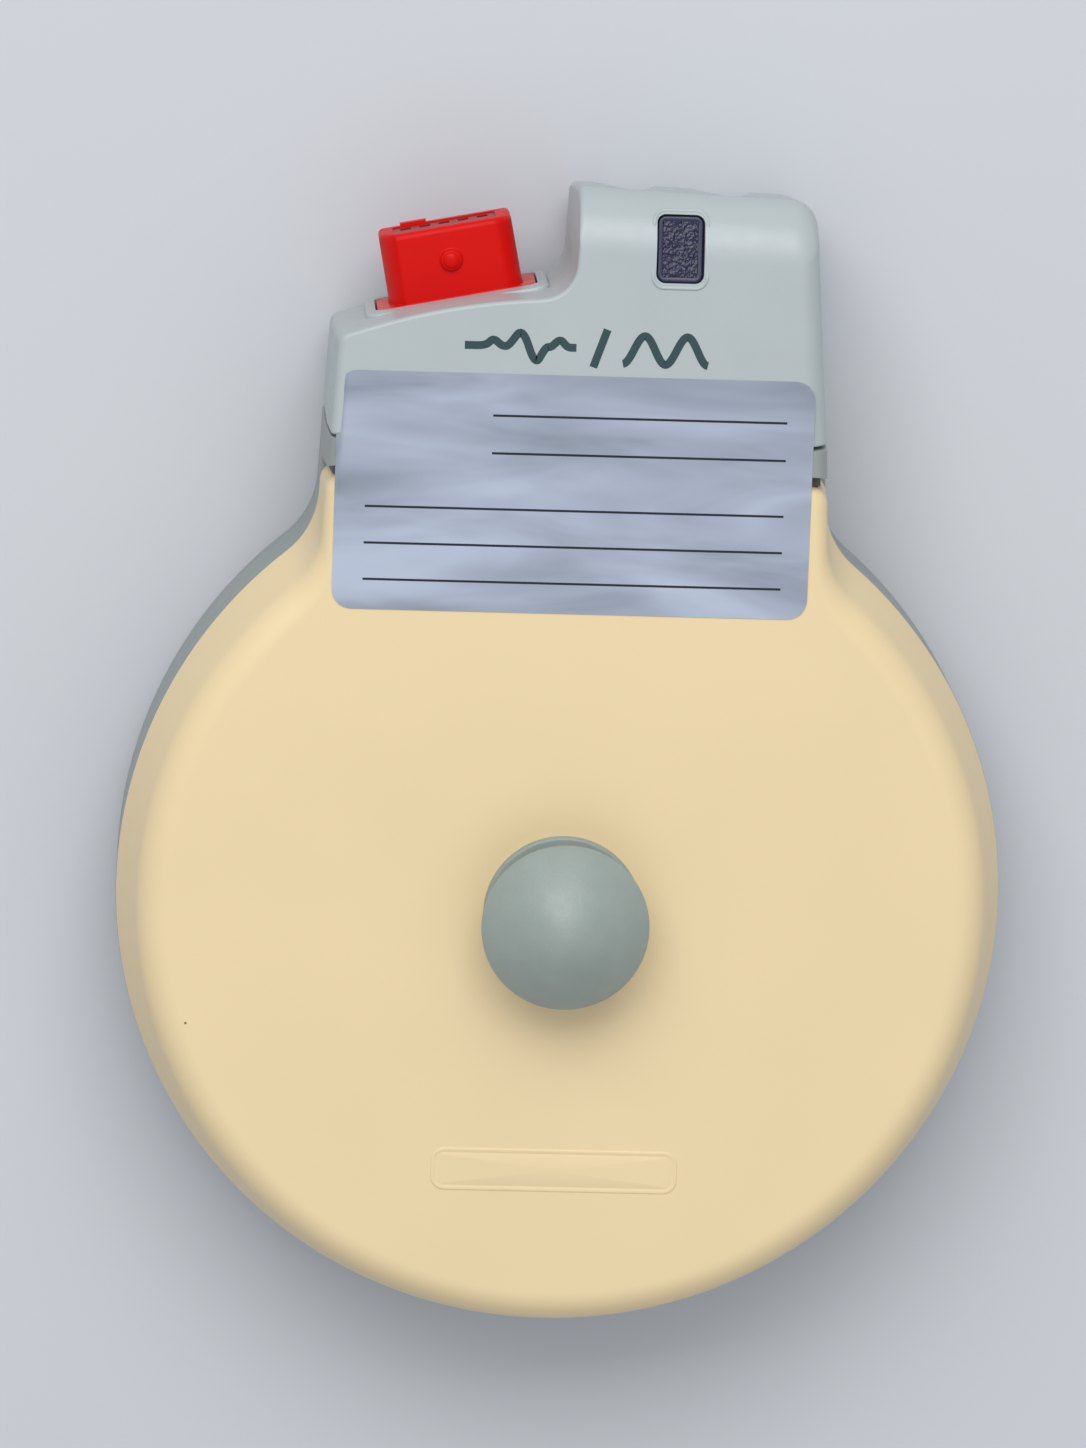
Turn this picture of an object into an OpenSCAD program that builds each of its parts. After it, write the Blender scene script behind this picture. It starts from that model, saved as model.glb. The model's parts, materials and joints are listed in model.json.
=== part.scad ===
/* [Case] */
// Radius of the round case
case_r = 41.5; // [40:0.5:43]
// Height of the parting line above the flat back
parting_z = 13.4; // [13:0.1:14]
// Height of the front face above the flat back
face_z = 21.8; // [21.4:0.1:22.4]
// Wall thickness of the case
wall = 2; // [1.8:0.1:2.1]
// Rounding of the back edge
back_round = 4; // [3:0.25:4]
// Radius of the hollow where the neck meets the round case
root_r = 8; // [6:0.5:10]

/* [Head] */
// Half width of the neck where the head begins
neck_half_w = 23.3; // [23:0.1:24]
// Height of the head's top edge over the case's centre
head_top = 67.1; // [66.5:0.1:69]
// Tilt of the socket on its saddle
saddle_tilt = 11.4; // [9:0.1:13]
// Upper edge of the front cover
cover_top = 40.6; // [40.2:0.1:41]
// Width of the sealed groove above the cover
groove_w = 1; // [0.8:0.1:1.2]
// Width of the bridge band between the groove and the head seam
band_w = 2.5; // [2.3:0.1:2.7]
// Width of the seam between the case and the head
seam_w = 0.3; // [0.2:0.05:0.4]
// Depth of the two scallops in the top edge
scallop_depth = 0.5; // [0.3:0.05:0.8]
// Radius of the two scallops
scallop_r = 4.9; // [4:0.1:5.2]

/* [Belt button] */
// Radius of the button's head
knob_r = 7.75; // [7.4:0.05:8]
// Height of the head's rim above the flat back
knob_rim_z = 27.85; // [27.5:0.05:28.5]
// Height of the pointed dome above the rim
knob_dome = 4.7; // [4:0.1:5]
// Radius of the button's neck
knob_neck_r = 3.4; // [3.2:0.05:3.6]
// Radius of the collar under the button
collar_r = 7.35; // [7:0.05:7.6]
// Height of the collar above the front face
collar_h = 0.75; // [0.6:0.05:0.9]
// Running clearance between neck and collar
knob_clear = 0.06; // [0.04:0.01:0.1]

/* [Patient socket] */
// Width of the socket body
socket_w = 12.6; // [12.2:0.1:13]
// Depth of the socket body from front to back
socket_t = 6.6; // [6.4:0.1:7]
// Height of the socket body above its frame
socket_h = 7.85; // [7:0.05:8.5]
// Width of the flange
flange_w = 14.9; // [14.6:0.1:15.2]
// Depth of the flange from front to back
flange_t = 7.3; // [7.1:0.1:7.5]

/* [Finder lamp] */
// Width of the lens
lens_w = 4.3; // [4:0.1:4.6]
// Height of the lens
lens_h = 6.25; // [6:0.05:6.4]

/* [Hidden] */
$fn = 48;

cream = [0.93, 0.85, 0.68];
grey = [0.74, 0.77, 0.76];
shell_grey = [0.58, 0.62, 0.6];
button_grey = [0.62, 0.68, 0.66];
olive = [0.35, 0.34, 0.29];
red = [0.86, 0.09, 0.06];
steel = [0.75, 0.75, 0.77];
gold = [0.85, 0.68, 0.3];
black = [0.1, 0.1, 0.1];
board_green = [0.1, 0.35, 0.2];

// Straight edges of the outline: outward normal angle and distance from the case's centre
function through(a, p) = [a, p[0] * cos(a) + p[1] * sin(a)];
neck_y = 43;
low_lean = 2.9;
right_lean = 4.5;
left_lean = 3.2;
right_low = through(low_lean, [neck_half_w, neck_y]);
right_high = through(right_lean, [neck_half_w, neck_y]);
top_slope = 2.2;
top_x = 10.75;
top_edge = through(90 - top_slope, [top_x, head_top]);
tower_edge = through(177.5, [-1, 61.5]);
saddle_right = [94.5, 57.35];
saddle_left = [108, 57.575];
left_high = through(180 - left_lean, [-neck_half_w, neck_y]);
left_low = through(180 - low_lean, [-neck_half_w, neck_y]);
cover_edge = [90, cover_top];

bend_r = 60;
tower_right_r = 3;
tower_left_r = 0.8;
saddle_root_r = 3.5;
saddle_end_r = 0.8;
cover_corner_r = 1.8;

side_steps = 12;
round_steps = 44;
root_steps = 7;
corner_steps = 5;
saddle_steps = 4;

// Front profile of each edge: lean of the wall, then width and height of its rounding
disc_front = [17, 3.1, 3.1];
side_front = [3, 1.4, 1.6];
cover_edge_front = [0, 0.35, 0.35];
right_front = [3, 2.1, 2.1];
top_front = [4, 5.5, 5.5];
tower_front = [2, 0.4, 0.4];
saddle_front = [-1.5, 0.35, 0.35];
left_front = [3, 0.8, 0.8];
top_rear_lean = 9;
saddle_rear_lean = 2;
least_round = 0.3;

cavity_floor = wall;
cavity_roof = face_z - wall;
groove_top = cover_top + groove_w;
band_top = groove_top + band_w;
cap_bottom = band_top + seam_w;
far = 120;
sink = 0.5;

saddle_x = -11.4;
saddle_y = 54.88;
socket_z = 10;
socket_shift = 0.3;
saddle_rim_h = 1.3;
pocket_floor = 0.2;
gasket_h = 0.3;
flange_h = 0.75;
flange_bottom = pocket_floor + gasket_h;
flange_top = flange_bottom + flange_h;

lens_x = 8.64;
lens_y = 62.23;
lens_sink = 1.1;
lens_t = 1.2;
lens_lean = 14;

button_hole_r = 5;
spigot_bottom = 17.8;
neck_bottom = 17.5;
washer_t = 0.8;
screw_r = 1.5;
o_ring_z = 19.8;

board_z = 5.4;
board_t = 1.6;
board_top = board_z + board_t;
board_r = 33.5;

cover_screw_r = 32;
cover_screw_angles = [40, 140, 222, 318];
case_screw_r = 1.25;
case_screw_clear = 0.15;
screw_head_r = 2.4;
screw_head_clear = 0.2;
screw_sink = 1.2;
screw_head_h = 1.6;
boss_r = 3.8;
insert_r = 2.18;
insert_h = 4.6;
insert_clear = 0.02;

lug_x = 17;
lug_y = 47.4;
lug_r = 2.9;
lug_bottom = 2.1;
lug_top = 6.6;
lug_insert_z = 2.4;
lug_insert_h = 4;
head_screw_sink = 0.2;
head_screw_head_h = 1;

// Meeting point of two lines given by normal angle and distance
function meet(a1, c1, a2, c2) =
    let (det = cos(a1) * sin(a2) - sin(a1) * cos(a2))
    [(c1 * sin(a2) - c2 * sin(a1)) / det, (c2 * cos(a1) - c1 * cos(a2)) / det];

// Rounded corner between two edges that are moved inwards by d1 and d2
function bend(e1, e2, r, d1, d2, steps) =
    let (side = e2[0] > e1[0] ? -1 : 1)
    let (rho = max(r + side * min(d1, d2), least_round))
    let (q = meet(e1[0], e1[1] - d1 + side * rho, e2[0], e2[1] - d2 + side * rho))
    [for (i = [0:steps])
        let (a = e1[0] + (e2[0] - e1[0]) * i / steps)
        q - side * rho * [cos(a), sin(a)]];

// Centre of the hollow on the right between the disc and the neck
function root_centre(d_disc, d_side, r) =
    let (u = right_low[1] - d_side + r)
    let (v = sqrt(pow(case_r - d_disc + r, 2) - u * u))
    [u * cos(low_lean) - v * sin(low_lean), u * sin(low_lean) + v * cos(low_lean)];

function root(d_disc, d_side) =
    let (r = root_r + min(d_disc, d_side))
    let (c = root_centre(d_disc, d_side, r))
    let (a0 = atan2(c[1], c[0]) + 180)
    [for (i = [0:root_steps])
        let (a = a0 + (180 + low_lean - a0) * i / root_steps)
        c + r * [cos(a), sin(a)]];

function flip(points) = [for (i = [len(points) - 1:-1:0]) [-points[i][0], points[i][1]]];

// Round part of the outline from the left hollow by way of the bottom to the right hollow
function disc_arc(d, right, left) =
    let (last = left[len(left) - 1])
    let (start = atan2(last[1], last[0]))
    let (stop = 360 + atan2(right[0][1], right[0][0]))
    let (angles = concat(
        [for (i = [1:side_steps]) start + (180 - start) * i / side_steps],
        [for (i = [1:round_steps]) 180 + 180 * i / round_steps],
        [for (i = [1:side_steps - 1]) 360 + (stop - 360) * i / side_steps]))
    [for (a = angles) (case_r - d) * [cos(a), sin(a)]];

// Case and head, with d = inset of the disc, right side, top, tower, saddle and left side
function whole_outline(d) =
    let (right = root(d[0], d[1]))
    let (left = flip(root(d[0], d[5])))
    concat(
        disc_arc(d[0], right, left),
        right,
        bend(right_low, right_high, bend_r, d[1], d[1], 1),
        bend(right_high, top_edge, tower_right_r, d[1], d[2], corner_steps),
        bend(top_edge, tower_edge, tower_left_r, d[2], d[3], corner_steps),
        bend(tower_edge, saddle_right, saddle_root_r, d[3], d[4], corner_steps),
        bend(saddle_right, saddle_left, bend_r, d[4], d[4], saddle_steps),
        bend(saddle_left, left_high, saddle_end_r, d[4], d[5], corner_steps),
        bend(left_high, left_low, bend_r, d[5], d[5], 1),
        left);

// Front cover, with d = inset of the disc, of the neck's sides and of the upper edge
function cover_outline(d) =
    let (right = root(d[0], d[1]))
    let (left = flip(right))
    concat(
        disc_arc(d[0], right, left),
        right,
        bend(right_low, cover_edge, cover_corner_r, d[1], d[2], corner_steps),
        bend(cover_edge, left_low, cover_corner_r, d[2], d[1], corner_steps),
        left);

// Points of the plan that see the whole outline, so that each end face is a fan about one
whole_hub = [5, 45];
cover_hub = [0, 25];

// Solid through rings of equal length, each given as its height and its points
module skin(heights, rings, hub) {
    n = len(rings[0]);
    m = len(rings);
    walls = [for (k = [0:m - 1]) for (p = rings[k]) [p[0], p[1], heights[k]]];
    ends = [[hub[0], hub[1], heights[0]], [hub[0], hub[1], heights[m - 1]]];
    sides = [for (k = [0:m - 2]) for (i = [0:n - 1])
        let (a = k * n + i, b = k * n + (i + 1) % n)
        for (f = [[a, a + n, b + n], [a, b + n, b]]) f];
    low_end = [for (i = [0:n - 1]) [m * n, i, (i + 1) % n]];
    high_end = [for (i = [0:n - 1]) [m * n + 1, (m - 1) * n + (i + 1) % n, (m - 1) * n + i]];
    polyhedron(concat(walls, ends), concat(low_end, sides, high_end));
}

// Case and head through layers, each being its height and its list of insets
module loft(layers) {
    skin([for (layer = layers) layer[0]], [for (layer = layers) whole_outline(layer[1])], whole_hub);
}

module cover_loft(layers) {
    skin([for (layer = layers) layer[0]], [for (layer = layers) cover_outline(layer[1])], cover_hub);
}

rim_steps = 6;

// Inset of an edge at a height of the front half, for the surface that lies off inside the wall
function inset(z, edge, off) =
    let (r = max(edge[1] - off, least_round))
    let (h = max(edge[2] - off, least_round))
    let (top = face_z - off)
    let (a0 = atan(h * tan(edge[0]) / r))
    let (z1 = top - h + h * sin(a0))
    off + (z <= z1
        ? tan(edge[0]) * (z - parting_z)
        : tan(edge[0]) * (z1 - parting_z) + r * (cos(a0) - cos(asin(min((z - top + h) / h, 1)))));

// Layers of the front half from the parting line to the face
function front_layers(edges, off) =
    let (top = face_z - off)
    let (h = top_front[2] - off)
    let (heights = concat([parting_z], [for (i = [0:rim_steps]) top - h * (1 - sin(90 * i / rim_steps))]))
    [for (z = heights) [z, [for (edge = edges) inset(z, edge, off)]]];

function rear_insets(z, d) =
    let (depth = parting_z - z)
    [d, d, d + tan(top_rear_lean) * depth, d, d + tan(saddle_rear_lean) * depth, d];

rear_outer_layers = [for (a = [0:18:90])
    let (z = back_round * (1 - cos(a)))
    [z, rear_insets(z, back_round * (1 - sin(a)))]];

rear_cavity_layers = [
    [cavity_floor, rear_insets(cavity_floor, wall + 1)],
    [cavity_floor + 1, rear_insets(cavity_floor + 1, wall)]];

neck_edges = [disc_front, side_front, top_front, tower_front, saddle_front, side_front];
head_edges = [disc_front, right_front, top_front, tower_front, saddle_front, left_front];
cover_edges = [disc_front, side_front, cover_edge_front];

function even(d) = [d, d, d, d, d, d];

// Block that spans the whole case between two heights of the plan
module slab(y0, y1, z0 = -1, z1 = 40) {
    translate([-far / 2, y0, z0]) cube([far, y1 - y0, z1 - z0]);
}

// Rounded rectangle in the plan, r at each corner
module pad(w, h, r) {
    square([w - 2 * r, h], center = true);
    square([w, h - 2 * r], center = true);
    for (x = [-1, 1])
        for (y = [-1, 1])
            translate([x * (w / 2 - r), y * (h / 2 - r)]) circle(r);
}

module cover_screw_places() {
    for (a = cover_screw_angles)
        rotate(a) translate([cover_screw_r, 0]) children();
}

module head_screw_places() {
    for (x = [-1, 1])
        translate([x * lug_x, lug_y]) children();
}

// Upright cylinder of a given radius between two heights
module post(r, z0, z1) {
    translate([0, 0, z0]) cylinder(r = r, h = z1 - z0);
}

// Frame of the socket: x along the saddle, y out of it, z towards the front
module at_saddle() {
    translate([saddle_x, saddle_y, socket_z])
        rotate(saddle_tilt)
            translate([socket_shift, 0, 0]) children();
}

// Block in the socket's frame from y0 to y1
module socket_block(w, t, y0, y1) {
    at_saddle() translate([-w / 2, y0, -t / 2]) cube([w, y1 - y0, t]);
}

// Solid that stands on the saddle with a given plan
module socket_prism(y0, y1) {
    at_saddle() translate([0, y1, 0]) rotate([90, 0, 0]) linear_extrude(y1 - y0) children();
}

back_corner = 0.6;
left_cut = [1.7, 2.3];
right_cut = [2, 2.5];

// Plan of the socket body: front left corner cut off, front right corner rounded
module socket_plan(w, t) {
    polygon(concat(
        [[-w / 2, -t / 2 + back_corner],
        [-w / 2 + back_corner, -t / 2],
        [w / 2 - back_corner, -t / 2],
        [w / 2, -t / 2 + back_corner]],
        [for (a = [0:18:90])
            [w / 2 + right_cut[0] * (cos(a) - 1), t / 2 + right_cut[1] * (sin(a) - 1)]],
        [[-w / 2 + left_cut[0], t / 2],
        [-w / 2, t / 2 - left_cut[1]]]));
}

// Frame of the lens: z out of it, leaning towards the head's top edge
module at_lens() {
    translate([lens_x, lens_y, face_z - lens_sink]) rotate([-lens_lean, 0, 0]) children();
}

scallop_x = [4.55, 13.5];

module scallops() {
    for (x = scallop_x)
        translate([x, head_top - (x - top_x) * tan(top_slope) - scallop_depth + scallop_r, -1])
            cylinder(r = scallop_r, h = 40, $fn = 64);
}

shaft_w = 11.4;
shaft_t = 5.6;
shaft_bottom = -5;
hole_clear = 0.3;
saddle_rim_w = 17.2;
saddle_rim_low = -4.85;
saddle_rim_high = 5.85;
saddle_rim_r = 1.6;

// Plan of the raised rim round the flange: its front margin is the widest
module rim_plan() {
    translate([0, (saddle_rim_low + saddle_rim_high) / 2])
        pad(saddle_rim_w, saddle_rim_high - saddle_rim_low, saddle_rim_r);
}

// Way for the socket through the saddle, with the pocket that its flange lies in
module socket_hole() {
    socket_block(shaft_w + hole_clear, shaft_t + hole_clear, -8, 4);
    socket_prism(pocket_floor, 3) pad(flange_w + hole_clear, flange_t + hole_clear, 1);
    socket_prism(saddle_rim_h, 3) rim_plan();
}

// Room round the front cover, as wide as the groove, from the parting line upwards
module cover_room(gap, z0, z1) {
    skin([z0, z1], [for (k = [0:1]) cover_outline([-gap, -gap, -gap])], cover_hub);
}

band_root_y = 37.5;

// Band across the neck, joined to the side walls of the back half
module bridge_band() {
    difference() {
        intersection() {
            loft(concat([[parting_z - 1, even(0)]], front_layers(neck_edges, 0)));
            slab(band_root_y, band_top, parting_z - 1);
        }
        cover_room(groove_w, parting_z, 40);
        slab(band_root_y - 1, band_top - wall, 0, parting_z);
    }
}

standoffs = [[-27, 6], [27, 6], [-25, -13], [25, -13], [-12, 38], [12, 38]];
standoff_r = 2.4;
standoff_bore = 0.9;
duct_half_w = 15.8;
duct_top = 12.4;
web_w = 3.6;
web_y = 40;

// Lugs that reach into the head and carry its screws
module lugs() {
    head_screw_places() post(lug_r, lug_bottom, lug_top);
    for (x = [-duct_half_w - web_w, duct_half_w]) {
        translate([x, web_y, cavity_floor - sink])
            cube([web_w, band_top - web_y, lug_top - cavity_floor + sink]);
        translate([x, band_top - 1, lug_bottom]) cube([web_w, lug_y - band_top + 1, lug_top - lug_bottom]);
    }
}

module rear_shell() {
    color(shell_grey) difference() {
        union() {
            difference() {
                intersection() {
                    loft(concat(rear_outer_layers, [[parting_z, rear_insets(parting_z, 0)]]));
                    slab(-60, band_top);
                }
                intersection() {
                    loft(concat(rear_cavity_layers, [[parting_z + 1, even(wall)]]));
                    slab(-60, band_top - wall, 0);
                }
            }
            bridge_band();
            lugs();
            cover_screw_places() post(boss_r, cavity_floor - sink, parting_z);
            for (p = standoffs)
                translate(p) post(standoff_r, cavity_floor - sink, board_z);
        }
        cover_screw_places() {
            post(screw_head_r + screw_head_clear, -1, screw_sink + screw_head_h);
            post(case_screw_r + case_screw_clear, -1, parting_z + 1);
        }
        head_screw_places() {
            post(insert_r + insert_clear, lug_insert_z, lug_top + 1);
            post(case_screw_r + case_screw_clear, lug_bottom - 1, lug_top);
        }
        for (p = standoffs)
            translate(p) post(standoff_bore, cavity_floor, board_z + 1);
        translate([-duct_half_w, band_top - wall - 1, cavity_floor])
            cube([2 * duct_half_w, wall + 2, duct_top - cavity_floor]);
    }
}

module front_cover() {
    color(cream) difference() {
        union() {
            difference() {
                cover_loft(front_layers(cover_edges, 0));
                cover_loft(concat([[parting_z - 1, [wall, wall, wall]]], front_layers(cover_edges, wall)));
            }
            cover_screw_places() post(boss_r, parting_z, cavity_roof + sink);
        }
        cover_screw_places() post(insert_r + insert_clear, parting_z - 1, parting_z + insert_h);
        translate([0, 0, cavity_roof - 1]) cylinder(r = button_hole_r + 0.05, h = 5, $fn = 64);
    }
}

led_post_x = 5;
led_post_y = 58.5;
led_post_r = 1.2;
guide_t = 1.2;
led_h = 1.2;
led_gap = 0.6;
led_top = face_z - lens_sink - lens_t - guide_t - led_gap;
led_board_t = 0.8;

module head_cap() {
    color(grey) difference() {
        union() {
            difference() {
                intersection() {
                    loft(concat(rear_outer_layers, front_layers(head_edges, 0)));
                    slab(cap_bottom, 80);
                }
                loft(concat(rear_cavity_layers, front_layers(head_edges, wall)));
            }
            intersection() {
                socket_prism(-wall, saddle_rim_h) rim_plan();
                slab(cap_bottom, 80);
            }
            for (x = [-led_post_x, led_post_x])
                translate([lens_x + x, led_post_y]) post(led_post_r, led_top - led_h, cavity_roof + sink);
        }
        head_screw_places() {
            post(screw_head_r + screw_head_clear, -1, head_screw_sink + head_screw_head_h);
            post(case_screw_r + case_screw_clear, -1, cavity_floor + 1);
        }
        socket_hole();
        scallops();
        at_lens() translate([0, 0, -4]) linear_extrude(9) pad(lens_w + 0.1, lens_h + 0.1, 0.85);
        at_lens() translate([0, 0, 0.75]) linear_extrude(5) pad(lens_w + 0.7, lens_h + 0.7, 1.1);
    }
}

seal_side = 0.55;
seal_depth = 1;
seal_gap = 0.02;

// Seal that fills the groove round the cover's upper edge
module neck_seal() {
    color(olive) difference() {
        intersection() {
            loft([[parting_z + 0.05, even(seal_side)], [face_z - seal_depth, even(seal_side + 0.4)]]);
            cover_room(groove_w - seal_gap, 0, 40);
            slab(band_root_y + 1, band_top);
        }
        cover_room(seal_gap, -1, 41);
    }
}

rim_seal_reach = 1.2;
rim_seal_t = 0.6;
rim_seal_gap = 0.05;
rim_seal_end = 29;

// Gasket behind the parting line of the round case; its outside follows the lean of both walls
module rim_seal() {
    low_r = case_r - wall - rim_seal_gap;
    high_r = low_r - rim_seal_gap - rim_seal_reach * tan(disc_front[0]);
    color(olive) difference() {
        rotate_extrude($fn = 96) polygon([
            [high_r - rim_seal_t, parting_z - rim_seal_reach],
            [low_r, parting_z - rim_seal_reach],
            [low_r, parting_z],
            [high_r, parting_z + rim_seal_reach],
            [high_r - rim_seal_t, parting_z + rim_seal_reach]]);
        slab(rim_seal_end, 80);
    }
}

dome_steps = 14;
under_slope = 0.5;
rim_h = 0.6;

// Pointed dome of the button: it starts level at the tip and steepens towards the rim
function dome(i) =
    let (r = knob_r * i / dome_steps)
    [r, knob_rim_z + knob_dome * (1 - pow(i / dome_steps, 1.7))];

module belt_button() {
    color(button_grey) difference() {
        rotate_extrude($fn = 72) polygon(concat(
            [[0, neck_bottom], [knob_neck_r, neck_bottom], [knob_neck_r, knob_rim_z - rim_h - under_slope]],
            [[knob_r - 0.5, knob_rim_z - rim_h], [knob_r, knob_rim_z - rim_h / 2]],
            [for (i = [dome_steps:-1:0]) dome(i)]));
        translate([0, 0, neck_bottom - 1]) cylinder(r = screw_r, h = 9);
    }
}

o_ring_r = 0.45;
o_ring_groove_r = 4.4;

module button_collar() {
    top = face_z + collar_h;
    color(button_grey) difference() {
        rotate_extrude($fn = 72) polygon([
            [0, spigot_bottom],
            [button_hole_r, spigot_bottom],
            [button_hole_r, face_z],
            [collar_r, face_z],
            [collar_r, top - 0.25],
            [collar_r - 0.25, top],
            [0, top]]);
        translate([0, 0, spigot_bottom - 1]) cylinder(r = knob_neck_r + knob_clear, h = 10, $fn = 64);
        translate([0, 0, o_ring_z - 0.6]) cylinder(r = o_ring_groove_r, h = 1.2, $fn = 64);
    }
}

screw_head_t = 2;

module button_screw() {
    color(steel) {
        post(2.75, neck_bottom - washer_t - screw_head_t, neck_bottom - washer_t);
        post(screw_r - 0.02, neck_bottom - washer_t, neck_bottom + 7.2);
    }
}

module button_washer() {
    color(steel) difference() {
        post(4.6, neck_bottom - washer_t, neck_bottom);
        post(screw_r + 0.1, neck_bottom - 2, neck_bottom + 2);
    }
}

module button_o_ring() {
    color(black) translate([0, 0, o_ring_z])
        rotate_extrude($fn = 64)
            translate([knob_neck_r + knob_clear + o_ring_r + 0.01, 0]) circle(r = o_ring_r, $fn = 24);
}

insert_w = 9.6;
insert_t = 4;
insert_sink = 0.15;
tab_x = -4.05;
tab_w = 2.45;
bump_x = 0.07;
bump_y = 4.75;

module socket_body() {
    color(red) difference() {
        union() {
            socket_prism(flange_top, socket_h) socket_plan(socket_w, socket_t);
            socket_block(shaft_w, shaft_t, shaft_bottom, flange_top);
            at_saddle() translate([tab_x, socket_h - 0.1, -socket_t / 2 + 0.05]) cube([tab_w, 0.3, 0.9]);
            at_saddle() translate([bump_x, bump_y, socket_t / 2 - 0.1])
                rotate_extrude() polygon([[0, 0], [1, 0], [1, 0.35], [0.75, 0.45], [0.5, 0.68], [0, 0.75]]);
        }
        socket_block(insert_w, insert_t, shaft_bottom - 1, socket_h + 1);
    }
}

snug = 0.04;

module socket_flange() {
    color([0.93, 0.25, 0.2]) difference() {
        socket_prism(flange_bottom, flange_top) pad(flange_w, flange_t, 0.9);
        socket_block(shaft_w + snug, shaft_t + snug, 0, 4);
    }
}

module socket_gasket() {
    color(black) difference() {
        socket_prism(pocket_floor, flange_bottom) pad(flange_w - 0.5, flange_t - 0.5, 0.8);
        socket_block(shaft_w + snug, shaft_t + snug, 0, 4);
    }
}

contact_count = 5;
contact_pitch = 1.8;
contact_w = 0.96;
contact_t = 0.4;
contact_z = -1.35;
slot_w = 1;
slot_t = 1.2;

function contact_x(i) = (i - (contact_count - 1) / 2) * contact_pitch;

module socket_insert() {
    color([0.75, 0.07, 0.05]) difference() {
        socket_block(insert_w - snug, insert_t - snug, shaft_bottom, socket_h - insert_sink);
        for (i = [0:contact_count - 1])
            at_saddle() translate([contact_x(i) - slot_w / 2, shaft_bottom - 1, contact_z - 0.05])
                cube([slot_w, 20, slot_t]);
    }
}

contact_tail = -7;

module socket_contacts() {
    color(gold) for (i = [0:contact_count - 1])
        at_saddle() translate([contact_x(i) - contact_w / 2, contact_tail, contact_z])
            cube([contact_w, 11, contact_t]);
}

flex_t = 0.2;
flex_w = 9;
header_top = 8.2;

// Flexible strip from the socket's contacts down to the header on the board
module socket_flex() {
    color([0.85, 0.5, 0.15]) {
        at_saddle() translate([-flex_w / 2, contact_tail - flex_t, contact_z - flex_t])
            cube([flex_w, 2.2, flex_t]);
        at_saddle() translate([-flex_w / 2, contact_tail - 2 * flex_t, header_top - socket_z])
            cube([flex_w, flex_t, contact_z - header_top + socket_z]);
    }
}

module flex_header() {
    color([0.15, 0.15, 0.17])
        at_saddle() translate([-flex_w / 2 - 0.5, contact_tail - 1.4, board_top - socket_z])
            cube([flex_w + 1, 2.6, header_top - board_top]);
}

module finder_lens() {
    color([0.11, 0.11, 0.24])
        at_lens() translate([0, 0, -lens_t]) linear_extrude(lens_t) pad(lens_w, lens_h, 0.8);
}

module light_guide() {
    color([0.9, 0.93, 0.95])
        at_lens() translate([0, 0, -lens_t - guide_t])
            linear_extrude(guide_t) pad(lens_w - 0.8, lens_h - 1.6, 0.5);
}

module finder_led() {
    color([0.95, 0.95, 0.8])
        translate([lens_x - 1.4, lens_y - 1.75, led_top - led_h]) cube([2.8, 3.5, led_h]);
}

module led_board() {
    color(board_green)
        translate([lens_x, 60.5, led_top - led_h - led_board_t])
            linear_extrude(led_board_t) pad(13.6, 7.2, 0.5);
}

module main_board() {
    color(board_green) difference() {
        translate([0, 0, board_z]) linear_extrude(board_t) {
            circle(board_r, $fn = 96);
            translate([-15.5, 10]) square([31, 41]);
            translate([2, 45]) square([15, 17]);
        }
        for (p = standoffs)
            translate(p) post(1.1, board_z - 1, board_top + 1);
        cover_screw_places() post(boss_r + 0.4, board_z - 1, board_top + 1);
        head_screw_places() post(lug_r + 0.4, board_z - 1, board_top + 1);
    }
}

module board_screws() {
    color(steel) for (p = standoffs)
        translate(p) {
            post(1.7, board_top, board_top + 1.1);
            post(standoff_bore - 0.02, cavity_floor + 0.5, board_top + 0.5);
        }
}

module radio_shield() {
    color(steel) difference() {
        translate([-14, 12, board_top]) cube([28, 20, 3]);
        translate([-13.7, 12.3, board_top - 0.1]) cube([27.4, 19.4, 2.8]);
    }
}

module board_chips() {
    color([0.12, 0.12, 0.13]) {
        translate([-11, 15, board_top]) cube([9, 9, 1.4]);
        translate([3, 15, board_top]) cube([7, 10, 1.4]);
        translate([-28, -8, board_top]) cube([8, 8, 1.6]);
        translate([20, -8, board_top]) cube([6, 10, 1.6]);
        translate([-6, 35, board_top]) cube([12, 5, 2]);
    }
}

cell_w = 37;
cell_l = 20;
cell_h = 7;
cell_y = -21;
tray_t = 0.8;

module battery_tray() {
    color([0.3, 0.3, 0.32]) difference() {
        translate([-cell_w / 2 - 1, cell_y - cell_l / 2 - 1, board_top]) cube([cell_w + 2, cell_l + 2, 4]);
        translate([-cell_w / 2, cell_y - cell_l / 2, board_top + tray_t]) cube([cell_w, cell_l, 5]);
    }
}

module battery_cell() {
    color([0.2, 0.35, 0.6])
        translate([-cell_w / 2, cell_y - cell_l / 2, board_top + tray_t]) cube([cell_w, cell_l, cell_h]);
}

clip_x = 8;
clip_w = 4;
clip_t = 0.5;

module battery_clip() {
    top = cell_h + tray_t;
    color(steel) for (x = [-clip_x, clip_x])
        translate([x - clip_w / 2, cell_y - cell_l / 2 - 1 - clip_t, board_top]) {
            cube([clip_w, clip_t, top + clip_t]);
            translate([0, 0, top]) cube([clip_w, cell_l + 2 + 2 * clip_t, clip_t]);
            translate([0, cell_l + 2 + clip_t, 0]) cube([clip_w, clip_t, top + clip_t]);
        }
}

turn_pitch = 1.8;
strip_w = 0.8;
strip_t = 0.6;
aerial_w = 13;

// Folded strip aerial on the board's end in the tower
module antenna() {
    color([0.8, 0.55, 0.35]) translate([3, 53.9, board_top]) {
        for (i = [0:4])
            translate([0, i * turn_pitch, 0]) cube([aerial_w, strip_w, strip_t]);
        for (i = [0:3])
            translate([(i % 2) * (aerial_w - strip_w), i * turn_pitch, 0])
                cube([strip_w, turn_pitch + strip_w, strip_t]);
    }
}

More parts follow.
